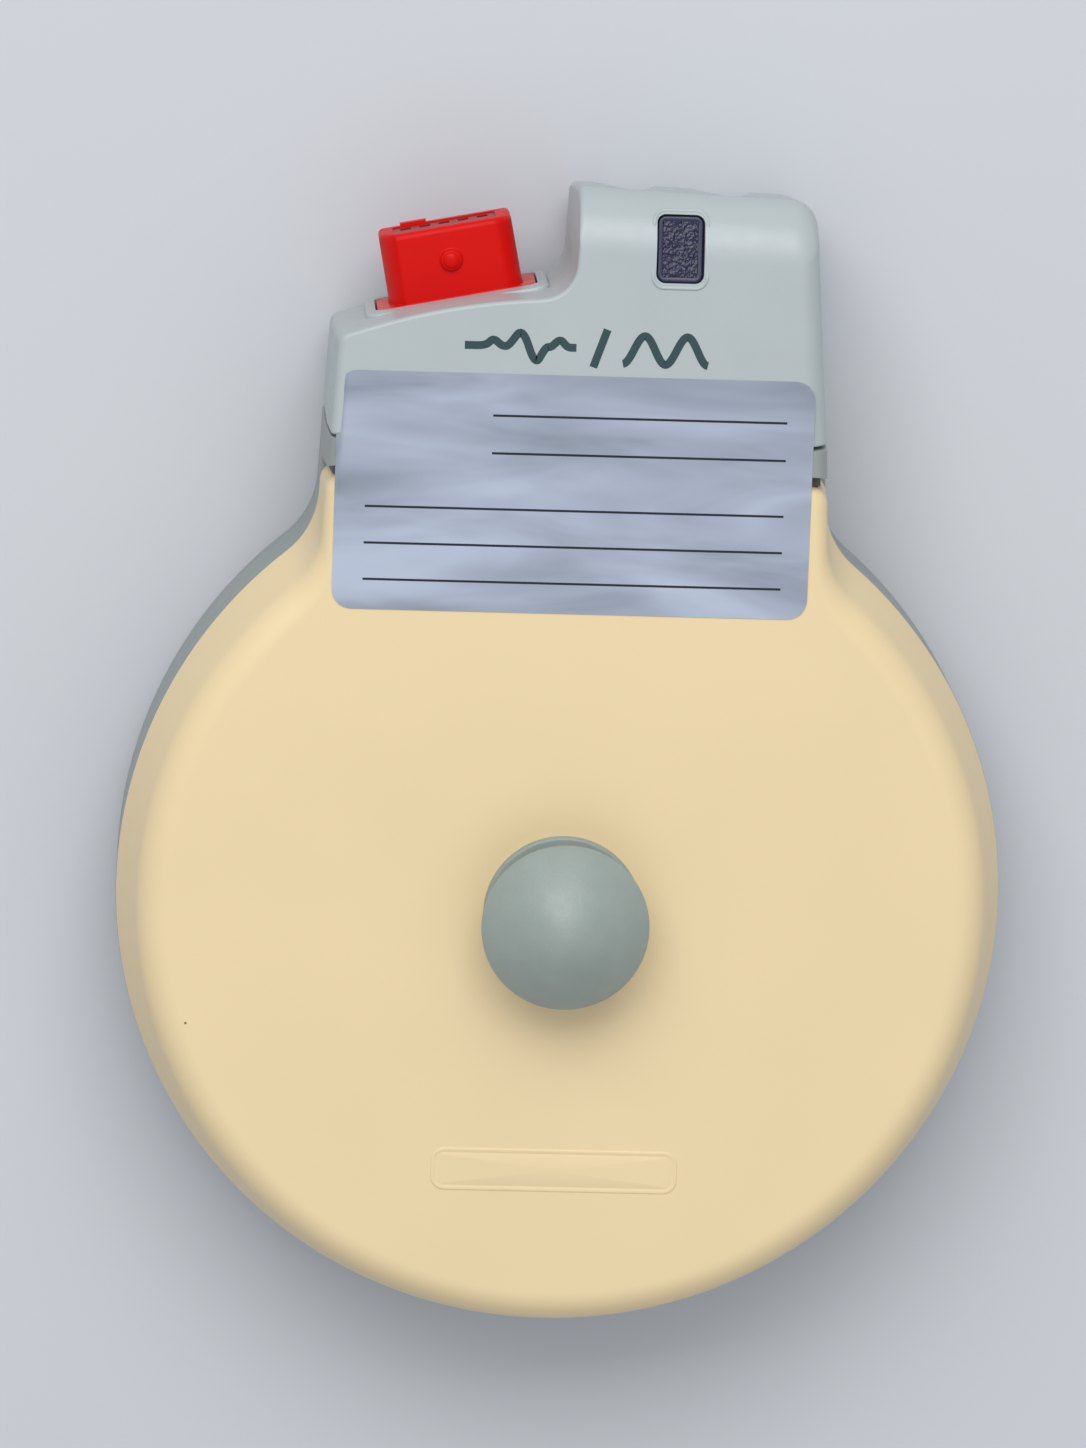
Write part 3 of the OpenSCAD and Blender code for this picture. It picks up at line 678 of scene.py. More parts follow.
def front_rings(outline, edges, off=0.0, lip=LIP):
    """Rings of a front piece from the parting line, with a small lip there, to the face."""
    rings = []
    if lip:
        for a in (0, math.radians(45)):
            edge = outline([lip * (1 - math.sin(a))] * len(edges))
            rings.append(lift(edge, PARTING_Z + lip * (1 - math.cos(a))))
        rings.append(lift(outline([inset(PARTING_Z + lip, e) for e in edges]), PARTING_Z + lip))
    else:
        rings.append(lift(outline([off] * len(edges)), PARTING_Z))
    for z in front_heights(off):
        rings.append(lift(outline([inset(z, e, off) for e in edges]), z))
    return rings


def back_insets(z, d, leans):
    """Insets of the back at a height; a lean of None is an edge cut square to the back."""
    return [0.0 if a is None else d + math.tan(math.radians(a)) * (PARTING_Z - z) for a in leans]


def back_rings(outline, leans, lip=LIP, steps=10):
    """Rings of the back from its rounded edge up to the parting line."""
    lip_mid = 0.035
    rings = []
    for i in range(steps + 1):
        a = math.pi / 2 * i / steps
        z = BACK_ROUND * (1 - math.cos(a))
        rings.append(lift(outline(back_insets(z, BACK_ROUND * (1 - math.sin(a)), leans)), z))
    if lip:
        for below, d in ((lip, 0.0), (lip_mid, lip_mid), (0, lip)):
            z = PARTING_Z - below
            rings.append(lift(outline(back_insets(z, d, leans)), z))
    return rings


def cavity_rings(outline, leans, chamfer=1):
    """Rings of the back's cavity: its floor and the foot of its wall, with a chamfer between."""
    places = ((WALL, WALL + chamfer), (WALL + chamfer, WALL))
    return [lift(outline(back_insets(z, d, leans)), z) for z, d in places]


def solid(name, rings, hub):
    """Closed piece through rings, with a fan to the hub at both ends."""
    obj = new_object(name, *skin(rings, (*hub, rings[0][0][2]), (*hub, rings[-1][0][2])))
    outward(obj)
    return obj


# Screws from the back, and the bosses and posts round them
CASE_SCREW_CIRCLE = 32
CASE_SCREW_ANGLES = (40, 140, 222, 318)
CASE_SCREWS = [(CASE_SCREW_CIRCLE * math.cos(math.radians(a)), CASE_SCREW_CIRCLE * math.sin(math.radians(a)))
               for a in CASE_SCREW_ANGLES]
HEAD_SCREW_X, HEAD_SCREW_Y = 17, 47.4
HEAD_SCREWS = [(-HEAD_SCREW_X, HEAD_SCREW_Y), (HEAD_SCREW_X, HEAD_SCREW_Y)]
SCREW_HEAD_R = 2.6
CASE_RECESS_TOP, HEAD_RECESS_TOP = 2.8, 1.2
SHANK_R = 1.4
INSERT_R = 2.2
INSERT_H = 4.6
BOSS_R = 3.8
BOARD_POSTS = [(-27, 6), (27, 6), (-25, -13), (25, -13), (-12, 38), (12, 38)]
BOARD_Z = 5.4
BOARD_POST_R = 2.4
LUG_IN, LUG_OUT, LUG_R = 15.8, 19.4, 2.9
LUG_BOTTOM, LUG_TOP = 2.1, 6.6

# Edges of the cover and of the head, in the order of their outlines
COVER_FRONTS = [DISC_FRONT, SIDE_FRONT, EDGE_FRONT]
HEAD_FRONTS = [SEAM_FRONT, RIGHT_FRONT, TOP_FRONT, TOWER_FRONT, SADDLE_FRONT, LEFT_FRONT]
HEAD_BACK = [None, 0, TOP_REAR_LEAN, 0, SADDLE_REAR_LEAN, 0]


# Frame of the socket: x along the saddle, y towards the front, z out of the saddle
SOCKET_AT = (-11.4, 54.88, 10.0)
SOCKET_TURN = 11.4
SOCKET_SHIFT = 0.3
AT_SADDLE = (Matrix.Translation(SOCKET_AT)
             @ Matrix.Rotation(math.radians(SOCKET_TURN), 4, "Z")
             @ Matrix.Translation((SOCKET_SHIFT, 0, 0))
             @ Matrix.Rotation(math.radians(-90), 4, "X")
             @ Matrix.Diagonal((1, -1, 1, 1)))
RIM_H = 1.3
RIM_W, RIM_LOW, RIM_HIGH = 17.2, -4.85, 5.85
RIM_CORNER_R = 1.6
PLAY = 0.3
POCKET_FLOOR = 0.2
POCKET_CORNER_R = 1.0
FLANGE_W, FLANGE_H, FLANGE_CORNER_R = 14.9, 7.3, 0.9
FLANGE_BOTTOM = POCKET_FLOOR + 0.3
FLANGE_TOP = FLANGE_BOTTOM + 0.75
SHAFT_W, SHAFT_H, SHAFT_CORNER_R = 11.4, 5.6, 0.3
SCALLOP_X = (4.55, 13.5)
SCALLOP_R = 4.9
SCALLOP_DEPTH = 0.8


def rim_outline(d=0.0):
    """Outer edge of the rim round the flange, moved in by d."""
    shift = (RIM_LOW + RIM_HIGH) / 2
    pad = pad_outline(RIM_W - 2 * d, RIM_HIGH - RIM_LOW - 2 * d, RIM_CORNER_R - d)
    return [(x, y + shift) for x, y in pad]


def saddle_rim():
    """Raised rim round the flange."""
    foot = -2.0
    rounding = ((0.3, 0.0), (0.18, 0.03), (0.06, 0.12), (0, 0.28))
    rings = [lift(rim_outline(), foot)] + [lift(rim_outline(d), RIM_H - below) for below, d in rounding]
    obj = new_object("rim", *skin(rings, (0, 0, foot), (0, 0, RIM_H)))
    place(obj, AT_SADDLE)
    outward(obj)
    return boolean(obj, block(-FAR, FAR, CAP_BOTTOM, FAR_Y, -5, FAR), "INTERSECT")


def cut_saddle(obj):
    """Way for the socket through the saddle, with the pocket that its flange lies in."""
    pocket = pad_outline(FLANGE_W + PLAY, FLANGE_H + PLAY, POCKET_CORNER_R)
    shaft = pad_outline(SHAFT_W + PLAY, SHAFT_H + PLAY, SHAFT_CORNER_R)
    for outline, z0, z1 in ((rim_outline(), RIM_H, 3), (pocket, POCKET_FLOOR, 3.2), (shaft, -8, 4)):
        boolean(obj, place(prism(outline, z0, z1), AT_SADDLE), "DIFFERENCE")


def scallop_cutter():
    """Two rods that follow the head's leaning back wall and cut the scallops in its top edge."""
    parts = []
    for x in SCALLOP_X:
        top = HEAD_TOP - (x - TOP_X) * math.tan(math.radians(TOP_SLOPE))
        y = top - SCALLOP_DEPTH + SCALLOP_R
        parts.append(place(rod(0, 0, -16, 12, SCALLOP_R, 96), Matrix.Translation((x, y, PARTING_Z))
                           @ Matrix.Rotation(math.radians(-TOP_REAR_LEAN), 4, "X")))
    return joined(parts, "scallops")


LENS_AT = (8.64, 62.23)
LENS_W, LENS_H, LENS_CORNER_R = 4.3, 6.25, 0.8
LENS_SINK = 1.1
LENS_LEAN = 14
AT_LENS = (Matrix.Translation((*LENS_AT, FACE_Z - LENS_SINK))
           @ Matrix.Rotation(math.radians(-LENS_LEAN), 4, "X"))


def make_cover():
    """Cream front half of the case, with its bosses and the hole for the collar."""
    collar_r, hole_top = 5.05, 30
    obj = solid("cream_cover", front_rings(cover_outline, COVER_FRONTS), CASE_HUB)
    inner = [lift(cover_outline([WALL] * 3), PARTING_Z - CLEAR)]
    inner += front_rings(cover_outline, COVER_FRONTS, WALL, 0)
    boolean(obj, solid("inner", inner, CASE_HUB), "DIFFERENCE")
    bosses = [rod(x, y, PARTING_Z, ROOF_Z + OVERLAP, BOSS_R) for x, y in CASE_SCREWS]
    boolean(obj, joined(bosses, "bosses"), "UNION")
    cuts = [rod(x, y, PARTING_Z - CLEAR, PARTING_Z + INSERT_H, INSERT_R) for x, y in CASE_SCREWS]
    cuts.append(rod(0, 0, ROOF_Z - CLEAR, hole_top, collar_r, 96))
    boolean(obj, joined(cuts, "cuts"), "DIFFERENCE")
    dress(smooth(obj), "cover_cream", "housing", "front_cover")


def cut_head_screws(obj, recess_top=None):
    """Shank holes for the head's screws, and the recesses for their heads where recess_top is given."""
    if recess_top:
        recesses = [rod(x, y, -CLEAR, recess_top, SCREW_HEAD_R) for x, y in HEAD_SCREWS]
        boolean(obj, joined(recesses, "recesses"), "DIFFERENCE")
    shanks = [rod(x, y, 1, 3, SHANK_R) for x, y in HEAD_SCREWS]
    boolean(obj, joined(shanks, "shanks"), "DIFFERENCE")


def make_head():
    """Light grey head, open towards the case, with the saddle, the tower and its window."""
    post_x, post_y, post_z, post_r = 5, 58.5, 16.5, 1.2
    window_play, window_corner = 0.1, 0.85
    outer = back_rings(head_outline, HEAD_BACK, 0) + front_rings(head_outline, HEAD_FRONTS, 0.0, 0)[1:]
    obj = solid("head_shell", outer, HEAD_HUB)

    def open_outline(d):
        """Inner outline that stands out past the seam, so that the head stays open there."""
        return head_outline([-2] + list(d[1:]))
    inner = cavity_rings(open_outline, HEAD_BACK) + front_rings(open_outline, HEAD_FRONTS, WALL, 0)
    boolean(obj, solid("inner", inner, HEAD_HUB), "DIFFERENCE")
    boolean(obj, saddle_rim(), "UNION")
    posts = [rod(LENS_AT[0] + x, post_y, post_z, ROOF_Z + OVERLAP, post_r) for x in (-post_x, post_x)]
    boolean(obj, joined(posts, "posts"), "UNION")
    cut_head_screws(obj, HEAD_RECESS_TOP)
    cut_saddle(obj)
    boolean(obj, scallop_cutter(), "DIFFERENCE")
    window = prism(pad_outline(LENS_W + window_play, LENS_H + window_play, window_corner), -4, 5)
    boolean(obj, place(window, AT_LENS), "DIFFERENCE")
    dress(smooth(obj), "head_grey", "housing", "head_cap")


def cover_room(gap, z0, z1):
    """Room round the front cover, wider than it by gap."""
    ring = cover_outline([-gap] * 3)
    return solid("room", [lift(ring, z0), lift(ring, z1)], CASE_HUB)


def neck_strip(name, side, top_z, low, z0):
    """Rolled strip across the neck, with its ends moved in by side and its long edges rounded."""
    edge_r = 0.25
    rings = [lift(band_outline([0, side], low), z0)]
    for z in [PARTING_Z + 0.01] + front_heights():
        rise = (z - FACE_Z + edge_r) / edge_r
        d = 0.0 if z < FACE_Z - edge_r else edge_r * (1 - math.sqrt(max(1 - rise ** 2, 0)))
        ends = side + inset(z, SIDE_FRONT)
        rings.append(lift(band_outline([d, ends], low), z - (FACE_Z - top_z)))
    return solid(name, rings, (0, 42.5))


def make_rear():
    """Grey back half: shell, screw bosses, board posts, the band across the neck and the head's lugs."""
    obj = solid("grey_back", back_rings(case_outline, [0, 0, None]), CASE_HUB)
    inner = cavity_rings(case_outline, [0, 0, 0]) + [lift(case_outline([WALL] * 3), PARTING_Z + CLEAR)]
    boolean(obj, solid("inner", inner, CASE_HUB), "DIFFERENCE")
    foot = WALL - OVERLAP
    bosses = [rod(x, y, foot, PARTING_Z, BOSS_R) for x, y in CASE_SCREWS]
    bosses += [rod(x, y, foot, BOARD_Z, BOARD_POST_R) for x, y in BOARD_POSTS]
    boolean(obj, joined(bosses, "bosses"), "UNION")
    add_neck_band(obj)
    add_lugs(obj)
    recesses = [rod(x, y, -CLEAR, CASE_RECESS_TOP, SCREW_HEAD_R) for x, y in CASE_SCREWS]
    boolean(obj, joined(recesses, "recesses"), "DIFFERENCE")
    cuts = [rod(x, y, 2, PARTING_Z + CLEAR, SHANK_R) for x, y in CASE_SCREWS]
    cuts += [rod(x, y, 2.4, 8, INSERT_R) for x, y in HEAD_SCREWS]
    boolean(obj, joined(cuts, "cuts"), "DIFFERENCE")
    cut_head_screws(obj)
    dress(smooth(obj), "shell_grey", "housing", "rear_shell")


def add_neck_band(obj):
    """Band across the neck in front of the parting line, and the way past it into the head."""
    band_low, way_low, way_high, way_top = 37.5, 41, 45, 12.4
    band = neck_strip("band", 0.0, FACE_Z, band_low, PARTING_Z - CLEAR)
    boolean(band, cover_room(GROOVE_W, PARTING_Z, HIGH_Z), "DIFFERENCE")
    boolean(band, block(-FAR, FAR, 30, BAND_TOP - WALL, 0, PARTING_Z), "DIFFERENCE")
    boolean(obj, band, "UNION")
    boolean(obj, block(-LUG_IN, LUG_IN, way_low, way_high, WALL, way_top), "DIFFERENCE")


def add_lugs(obj):
    """Two lugs that reach into the head and end round about its screws."""
    for side in (-1, 1):
        x0, x1 = sorted((side * LUG_IN, side * LUG_OUT))
        boolean(obj, block(x0, x1, 40, BAND_TOP, WALL - OVERLAP, LUG_TOP), "UNION")
        boolean(obj, block(x0, x1, 43.1, HEAD_SCREW_Y, LUG_BOTTOM, LUG_TOP), "UNION")
        boolean(obj, rod(side * HEAD_SCREW_X, HEAD_SCREW_Y, LUG_BOTTOM, LUG_TOP, LUG_R), "UNION")


def make_neck_seal():
    """Seal that fills the groove between cover and band, dark olive with the groove's painted shade."""
    gap, ends_in, sunk, low, foot = 0.02, 0.55, 1, 38.5, 0.9
    obj = neck_strip("groove_seal", ends_in, FACE_Z - sunk, low, PARTING_Z - foot)
    boolean(obj, cover_room(GROOVE_W - gap, 0, HIGH_Z), "INTERSECT")
    boolean(obj, cover_room(gap, -CLEAR, HIGH_Z + CLEAR), "DIFFERENCE")
    dress(smooth(obj), "seal_olive", "housing", "neck_seal")


def make_button():
    """Mushroom button: neck, flat underside, rolled rim and a dome that comes to a soft point."""
    r, rim_r, rim_z, dome, power = 7.75, 0.4, 27.85, 4.7, 1.7
    foot_z, neck_r, steps = 17.5, 3.4, 36
    profile = [(0, foot_z), (neck_r - 0.2, foot_z), (neck_r, foot_z + 0.2), (neck_r, 26.1), (3.6, 26.5),
               (4.0, 26.75), (7.0, 27.2)]
    for a in (math.radians(k) for k in (10, 35, 60, 90)):
        profile.append((r - rim_r + rim_r * math.sin(a), rim_z - 0.25 - rim_r * math.cos(a)))
    for i in range(steps, -1, -1):
        s = i / steps
        z = rim_z + dome * (1 - s ** power)
        profile.append((r * s, z if i < steps else z - 0.08))
    obj = lathe("button_head", profile, 144)
    outward(obj)
    dress(smooth(obj), "button_grey", "button", "belt_button")


def make_collar():
    """Collar that the button turns in, with a rounded upper edge."""
    bore, shaft_r, r, edge_r = 3.46, 5.0, 7.35, 0.3
    bottom, top = 17.8, FACE_Z + 0.75
    profile = [(bore, bottom), (shaft_r, bottom), (shaft_r, FACE_Z), (r, FACE_Z), (r, top - edge_r)]
    for a in (math.radians(k) for k in (30, 60, 90)):
        profile.append((7.05 + edge_r * math.cos(a), top - edge_r + edge_r * math.sin(a)))
    profile += [(4.2, top), (3.9, top - 0.1), (bore, top - 0.35)]
    obj = lathe("collar_ring", profile, 144)
    outward(obj)
    dress(smooth(obj), "button_grey", "housing", "button_collar")


def socket_section(w, h, inset_by=0.0, steps=8):
    """Plan of the socket body, its front corners rounded more than its back ones."""
    least = 0.05
    bevelled, bevel = 1, 0.55
    corners = [(1, 1, 2.0, 2.5), (-1, 1, 1.7, 2.3), (-1, -1, 0.6, 0.6), (1, -1, 0.6, 0.6)]
    out = []
    for k, (sx, sy, rx, ry) in enumerate(corners):
        ax, ay = max(rx - inset_by, least), max(ry - inset_by, least)
        for i in range(steps + 1):
            a = math.pi / 2 * (k + i / steps)
            cx, cy = math.cos(a), math.sin(a)
            if k == bevelled:
                s = i / steps
                cx, cy = cx * (1 - bevel) - s * bevel, cy * (1 - bevel) + (1 - s) * bevel
            out.append((sx * (w / 2 - inset_by - ax) + ax * cx, sy * (h / 2 - inset_by - ay) + ay * cy))
    return out


def make_socket():
    """Red socket: body in front of the flange, shaft through the saddle, tab and mouth."""
    w, h, top, bottom = 12.6, 6.6, 7.85, FLANGE_TOP
    mouth_w, mouth_h = 9.6, 4.0
    rings = [lift(socket_section(w, h), bottom), lift(socket_section(w, h, 0.06), bottom + 0.15)]
    for below, d in ((0.6, 0.1), (0.42, 0.13), (0.2, 0.22), (0.06, 0.38), (0, 0.6)):
        rings.append(lift(socket_section(w, h, d), top - below))
    obj = new_object("red_socket", *skin(rings, (0, 0, bottom), (0, 0, top)))
    place(obj, AT_SADDLE)
    outward(obj)
    shaft = prism(pad_outline(SHAFT_W, SHAFT_H, SHAFT_CORNER_R), -5, bottom + 0.2)
    boolean(obj, place(shaft, AT_SADDLE), "UNION")
    tab = [(-4.05 + 2.45 * x, -3.25 + 0.9 * y) for x, y in ((0, 0), (1, 0), (1, 1), (0, 1))]
    boolean(obj, place(prism(tab, top - 0.5, top + 0.2), AT_SADDLE), "UNION")
    boolean(obj, place(prism(pad_outline(mouth_w, mouth_h, 0.1), -6, 9), AT_SADDLE), "DIFFERENCE")
    dress(smooth(obj), "socket_red", "housing", "socket_body")


def make_bump():
    """Round locating bump on the socket's front."""
    bump_at = (0.07, 3.3 - 0.08, 4.75)
    profile = [(0, -0.6), (1.12, -0.6), (1.12, 0.02), (1.03, 0.06), (1.0, 0.3), (0.9, 0.42), (0.78, 0.45),
               (0.72, 0.55), (0.5, 0.67), (0.25, 0.72), (0, 0.74)]
    obj = lathe("socket_bump", profile, 56)
    place(obj, AT_SADDLE @ Matrix.Translation(bump_at) @ Matrix.Rotation(math.radians(-90), 4, "X"))
    outward(obj)
    dress(smooth(obj), "socket_red", "housing")


def make_flange():
    """Lighter red flange in the pocket of the saddle."""
    slack = 0.04
    rings = [lift(pad_outline(FLANGE_W - 2 * d, FLANGE_H - 2 * d, FLANGE_CORNER_R), z) for z, d in
             ((FLANGE_BOTTOM, 0), (FLANGE_TOP - 0.15, 0), (FLANGE_TOP - 0.04, 0.04), (FLANGE_TOP, 0.15))]
    obj = new_object("red_flange", *skin(rings, (0, 0, FLANGE_BOTTOM), (0, 0, FLANGE_TOP)))
    place(obj, AT_SADDLE)
    outward(obj)
    hole = prism(pad_outline(SHAFT_W + slack, SHAFT_H + slack, SHAFT_CORNER_R), 0, 4)
    boolean(obj, place(hole, AT_SADDLE), "DIFFERENCE")
    dress(smooth(obj), "flange_red", "housing", "socket_flange")


def lens_plateau(w, h, nx=64, ny=96):
    """Rough raised field of the lens, closed below."""
    bottom, rim, level = -0.4, -0.06, 0.03
    verts = []
    for j in range(ny + 1):
        for i in range(nx + 1):
            x, y = w * (i / nx - 0.5), h * (j / ny - 0.5)
            coarse = 0.07 * noise.noise(Vector((x * 3.6, y * 3.6, 1.5)))
            fine = 0.05 * noise.noise(Vector((x * 8, y * 8, 4.5)))
            at_rim = min(i, nx - i, j, ny - j) == 0
            verts.append((x, y, rim if at_rim else level + (coarse + fine)))
    row = nx + 1
    faces = [(j * row + i, j * row + i + 1, (j + 1) * row + i + 1, (j + 1) * row + i)
             for j in range(ny) for i in range(nx)]
    low = len(verts)
    verts += [(sx * w / 2, sy * h / 2, bottom) for sx, sy in ((-1, -1), (1, -1), (1, 1), (-1, 1))]
    south = range(row)
    north = [ny * row + i for i in range(row)]
    west = [j * row for j in range(ny + 1)]
    east = [j * row + nx for j in range(ny + 1)]
    faces += [(low + 3, low + 2, low + 1, low), (low, low + 1, *reversed(south)), (low + 2, low + 3, *north),
              (low + 3, low, *west), (low + 1, low + 2, *reversed(east))]
    return new_object("plateau", verts, faces)


def make_lens():
    """Lens with a smooth bevelled border and a rough plateau."""
    border, bottom, floor, gap = 0.45, -1.2, -0.05, 0.05

    def scaled(d):
        return pad_outline(LENS_W - 2 * d, LENS_H - 2 * d, max(LENS_CORNER_R - d, 0.2), 6)
    steps = ((bottom, 0), (-0.15, 0), (-0.03, 0.08), (0.0, 0.2), (0.0, border), (floor, border + 0.12))
    body = new_object("lens", *skin([lift(scaled(d), z) for z, d in steps], (0, 0, bottom), (0, 0, floor)))
    rough = lens_plateau(LENS_W - 2 * (border + gap), LENS_H - 2 * (border + gap))
    obj = joined([body, rough], "navy_window")
    place(obj, AT_LENS)
    outward(obj)
    dress(smooth(obj, 60), "lens_navy", "housing", "finder_lens")


def make_bezel():
    """Fine raised bead round the window, lying on the rolled face."""
    wider, corner_r, sides, r, sunk = 0.62, 1.05, 8, 0.2, 0.06
    pad = pad_outline(LENS_W + wider, LENS_H + wider, corner_r, 10)
    path = [(LENS_AT[0] + x, LENS_AT[1] + y) for x, y in pad]
    rings = []
    for i, (x, y) in enumerate(path):
        px, py = path[i - 1]
        qx, qy = path[(i + 1) % len(path)]
        t = Vector((qx - px, qy - py)).normalized()
        z = head_height(x, y) - sunk
        rings.append([(x + t.y * r * math.cos(a), y - t.x * r * math.cos(a), z + r * math.sin(a))
                      for a in (2 * math.pi * k / sides for k in range(sides))])
    obj = new_object("window_bead", *skin(rings, closed=True))
    outward(obj)
    dress(smooth(obj, 60), "head_grey", "housing")


# Left, right, lower and upper edge of the sticker, and its thickness
LABEL = (-22.3, 21.5, 28.3, 50.45)
LABEL_CORNER_R = 1.8
LABEL_T = 0.08


def support_height(x, y):
    """Height of the neck's face under the sticker, with its rolled sides."""
    right, left = (RIGHT_LOW, LEFT_LOW) if y < CAP_BOTTOM else (RIGHT_HIGH, LEFT_HIGH)
    return FACE_Z - max(drop(depth(right, x, y), SIDE_FRONT), drop(depth(left, x, y), SIDE_FRONT))


def label_height(x, y):
    """Sticker's surface with soft creases; it follows the rolled sides a little and then stands free."""
    lift_off, least_bend, calm_border = 0.09, 0.5, 1.5
    crease = 0.05 * math.sin(0.42 * x - 0.75 * y + 1.2 * math.sin(0.16 * x + 0.3))
    crease *= 0.5 + 0.5 * noise.noise(Vector((x * 0.09, y * 0.12, 0.7)))
    fine = 0.035 * noise.noise(Vector((x * 0.22 + 3, y * 0.5, 2.2)))
    edge = min(x - LABEL[0], LABEL[1] - x, y - LABEL[2], LABEL[3] - y)
    calm = min(max(edge, 0) / calm_border, 1)
    flat = max(support_height(x, y), FACE_Z - least_bend)
    return flat + lift_off + 0.7 * calm * (abs(crease) + abs(fine))


def along(ring, share):
    """Point at a share of the length of a closed ring."""
    total, lengths = 0.0, [0.0]
    for a, b in zip(ring, ring[1:] + ring[:1]):
        total += math.dist(a, b)
        lengths.append(total)
    want = total * share
    for i in range(len(ring)):
        if lengths[i + 1] >= want:
            s = (want - lengths[i]) / max(lengths[i + 1] - lengths[i], 1e-9)
            a, b = ring[i], ring[(i + 1) % len(ring)]
            return (a[0] + (b[0] - a[0]) * s, a[1] + (b[1] - a[1]) * s)
    return ring[0]


def make_label():
    """Blank sticker over the neck, from rings that shrink towards its centre."""
    x0, x1, y0, y1 = LABEL
    cx, cy = (x0 + x1) / 2, (y0 + y1) / 2
    steps, count = 60, 240
    edge = [(cx + x, cy + y) for x, y in pad_outline(x1 - x0, y1 - y0, LABEL_CORNER_R, 12)]
    border = [along(edge, k / count) for k in range(count)]
    rings = [[(cx + (x - cx) * (1 - s / steps), cy + (y - cy) * (1 - s / steps)) for x, y in border]
             for s in range(steps)]
    top = [[(x, y, label_height(x, y)) for x, y in ring] for ring in rings]
    under = [[(x, y, label_height(x, y) - LABEL_T) for x, y in ring]
             for ring in (rings[steps // 2], rings[0])]
    verts, faces = skin(under + top, (cx, cy, FACE_Z + 0.01), (cx, cy, label_height(cx, cy)))
    obj = new_object("blank_sticker", verts, faces)
    outward(obj)
    dress(smooth(obj, 50), "label_silver", "housing", "blank_label")


def rounded(points, steps=8, share=0.42):
    """The same stroke with its corners rounded off."""
    out = [points[0]]
    for a, b, c in zip(points, points[1:], points[2:]):
        p = [b[k] + (a[k] - b[k]) * share for k in (0, 1)]
        q = [b[k] + (c[k] - b[k]) * share for k in (0, 1)]
        for i in range(steps + 1):
            s = i / steps
            out.append(tuple((1 - s) ** 2 * p[k] + 2 * s * (1 - s) * b[k] + s * s * q[k] for k in (0, 1)))
    return out + [points[-1]]


def make_marks():
    """Teal marks on the head: a plain pulse, a stroke and two soft swells."""
    base, top, width, height = 51.3, 54.8, 0.72, 0.03
    mid = (base + top) / 2
    pulse = [(-10.8, mid), (-8.9, mid), (-8.2, mid + 0.7), (-7.4, mid), (-6.8, mid), (-5.6, top),
             (-4.3, base), (-3.4, mid), (-2.9, mid), (-2.1, mid + 0.8), (-1.4, mid), (-0.6, mid)]
    stroke = [(1.0, base), (2.2, top)]
    swell_x, swell_w, swell_h, steps = 3.7, 7.8, 2.6, 60
    swell = [(swell_x + swell_w * i / steps, base + 0.4 + swell_h * math.sin(math.pi * 2 * i / steps) ** 2)
             for i in range(steps + 1)]
    for name, points in (("mark_pulse", rounded(pulse)), ("mark_stroke", stroke), ("mark_swell", swell)):
        obj = ribbon(name, points, width, height, head_height)
        dress(smooth(obj), "mark_teal", "housing")


def make_nameplate():
    """Blank moulded plate where lettering could stand on the cover."""
    w, h, corner_r, at = 23.1, 4.1, 1.3, (0.05, -24.73)
    steps = [(-0.1, 0.0), (0.0, 0.0), (0.05, 0.03), (0.08, 0.12), (0.08, 0.3), (0.02, 0.42), (0.02, 0.5),
             (0.06, 0.62)]
    rings = [[(at[0] + x, at[1] + y, FACE_Z + z) for x, y in pad_outline(w - 2 * d, h - 2 * d, corner_r - d)]
             for z, d in steps]
    bottom, top = FACE_Z + steps[0][0], FACE_Z + steps[-1][0]
    obj = new_object("blank_plate", *skin(rings, (*at, bottom), (*at, top)))
    outward(obj)
    dress(smooth(obj, 50), "cover_cream", "housing")


def dress_frame():
    """Materials for the nodes that stay as they are."""
    wanted = {s["node"]: s["material_slot"] for s in frame["record"]["subparts"]}
    for name, obj in frame["nodes"].items():
        if obj.hide_render:
            continue
        mat = MATS[wanted[name]]
        if obj.material_slots:
            for s in obj.material_slots:
                s.material = mat
        else:
            obj.data.materials.append(mat)
        smooth(obj)


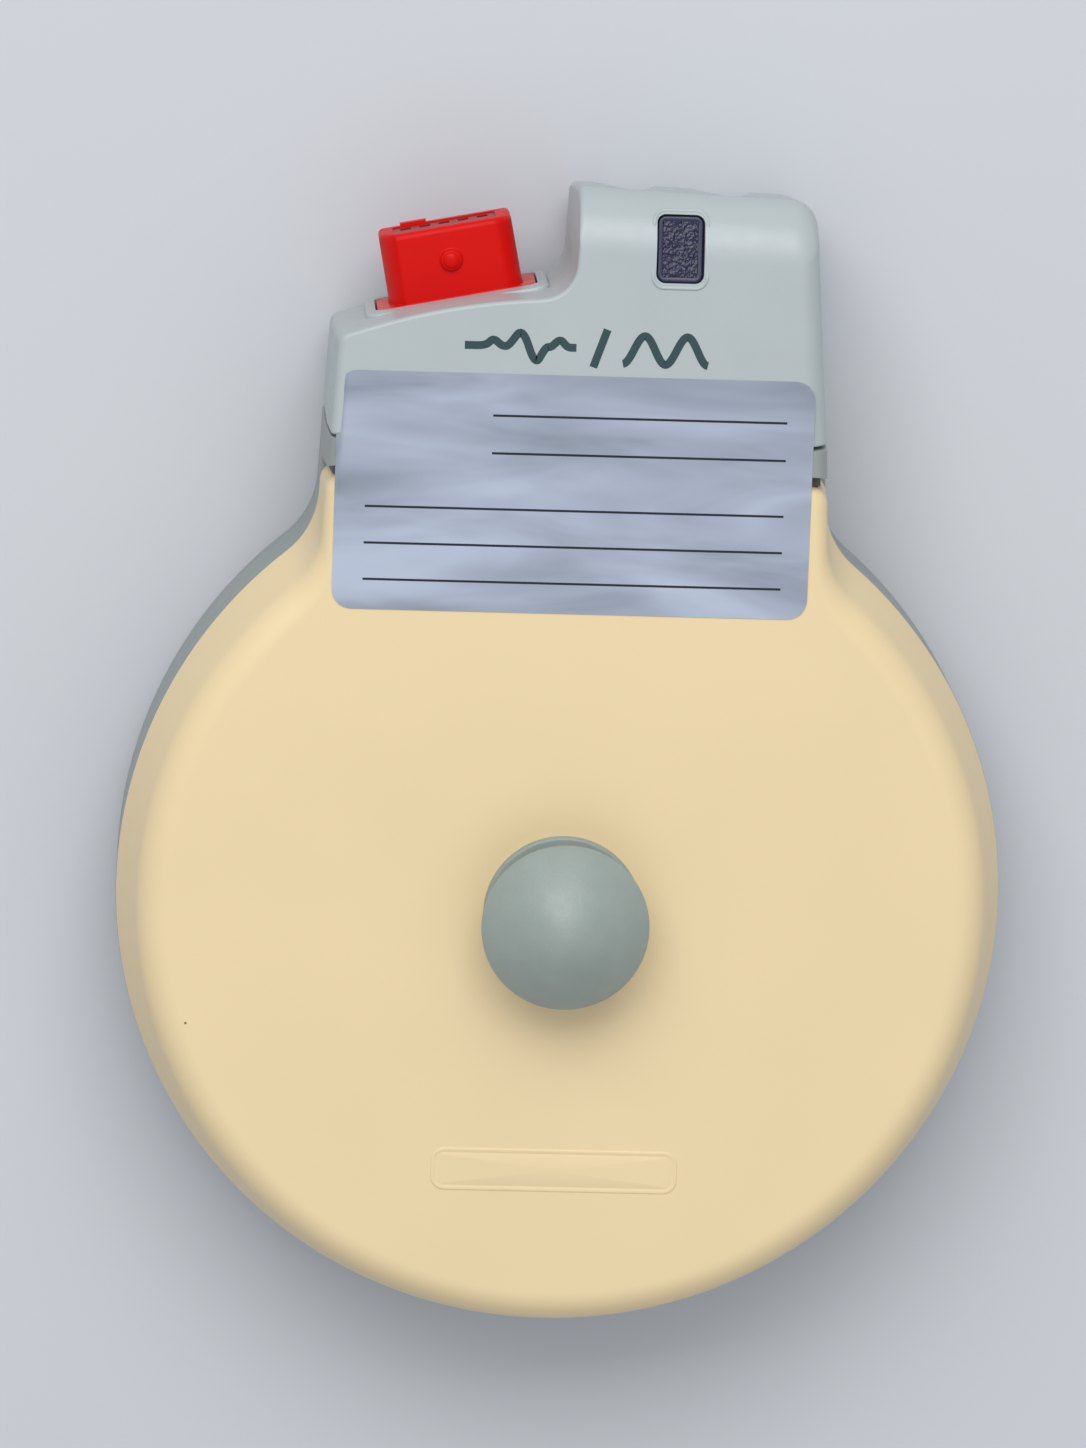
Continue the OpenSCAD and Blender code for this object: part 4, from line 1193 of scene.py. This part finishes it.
def make_camera():
    """Camera of the photograph, found by fitting it to the object's outline."""
    eye = Vector((-37.2060431, 157.465738, 694.0435021)) * MM
    right = Vector((0.9984085, 0.0347305, 0.0444331))
    up = Vector((-0.0249398, 0.978554, -0.2044751))
    back = -Vector((0.0505817, -0.2030416, -0.9778628))
    cam = bpy.data.cameras.new("camera")
    cam.lens = 185.16
    cam.sensor_width = 36
    cam.clip_end = 10
    obj = bpy.data.objects.new("camera", cam)
    bpy.context.scene.collection.objects.link(obj)
    obj.matrix_world = Matrix((
        (right.x, up.x, back.x, eye.x),
        (right.y, up.y, back.y, eye.y),
        (right.z, up.z, back.z, eye.z),
        (0, 0, 0, 1)))
    bpy.context.scene.camera = obj


def area_light(name, at, size, watts):
    """Rectangular lamp that points at the object's middle."""
    data = bpy.data.lights.new(name, "AREA")
    data.shape = "RECTANGLE"
    data.size, data.size_y = size
    data.energy = watts
    obj = bpy.data.objects.new(name, data)
    bpy.context.scene.collection.objects.link(obj)
    obj.location = at
    obj.rotation_mode = "QUATERNION"
    obj.rotation_quaternion = (Vector(at) - Vector((0, 0.01, 0.01))).to_track_quat("Z", "Y")


def make_lights():
    """Soft key from above the head, a weaker top light and a faint cool surround."""
    area_light("key", (-0.1, 0.65, 0.75), (0.9, 0.6), 6.6)
    area_light("top", (0.1, -0.15, 1.1), (1.5, 1.5), 3.0)
    world = bpy.data.worlds.new("studio")
    world.use_nodes = True
    background = world.node_tree.nodes["Background"]
    background.inputs["Color"].default_value = (0.93, 0.96, 1.0, 1)
    background.inputs["Strength"].default_value = 0.42
    bpy.context.scene.world = world


def make_floor():
    """Pale paper floor that the object stands on."""
    half = 1500
    corners = [(-half, -half, 0), (half, -half, 0), (half, half, 0), (-half, half, 0)]
    obj = new_object("floor", corners, [(0, 1, 2, 3)])
    mat, tree, bsdf = material("floor_paper", FLOOR_GREY, 0.8)
    at = coords(tree)
    tint(tree, bsdf, FLOOR_GREY, 0.01, spread(tree, noise_node(tree, at, 0.01, 2), 0, 1))
    obj.data.materials.append(mat)


make_camera()
make_cover()
make_head()
make_rear()
make_neck_seal()
make_button()
make_collar()
make_socket()
make_bump()
make_flange()
make_lens()
make_bezel()
make_label()
make_marks()
make_nameplate()
dress_frame()
make_lights()
make_floor()
bpy.context.scene.view_settings.view_transform = "Standard"
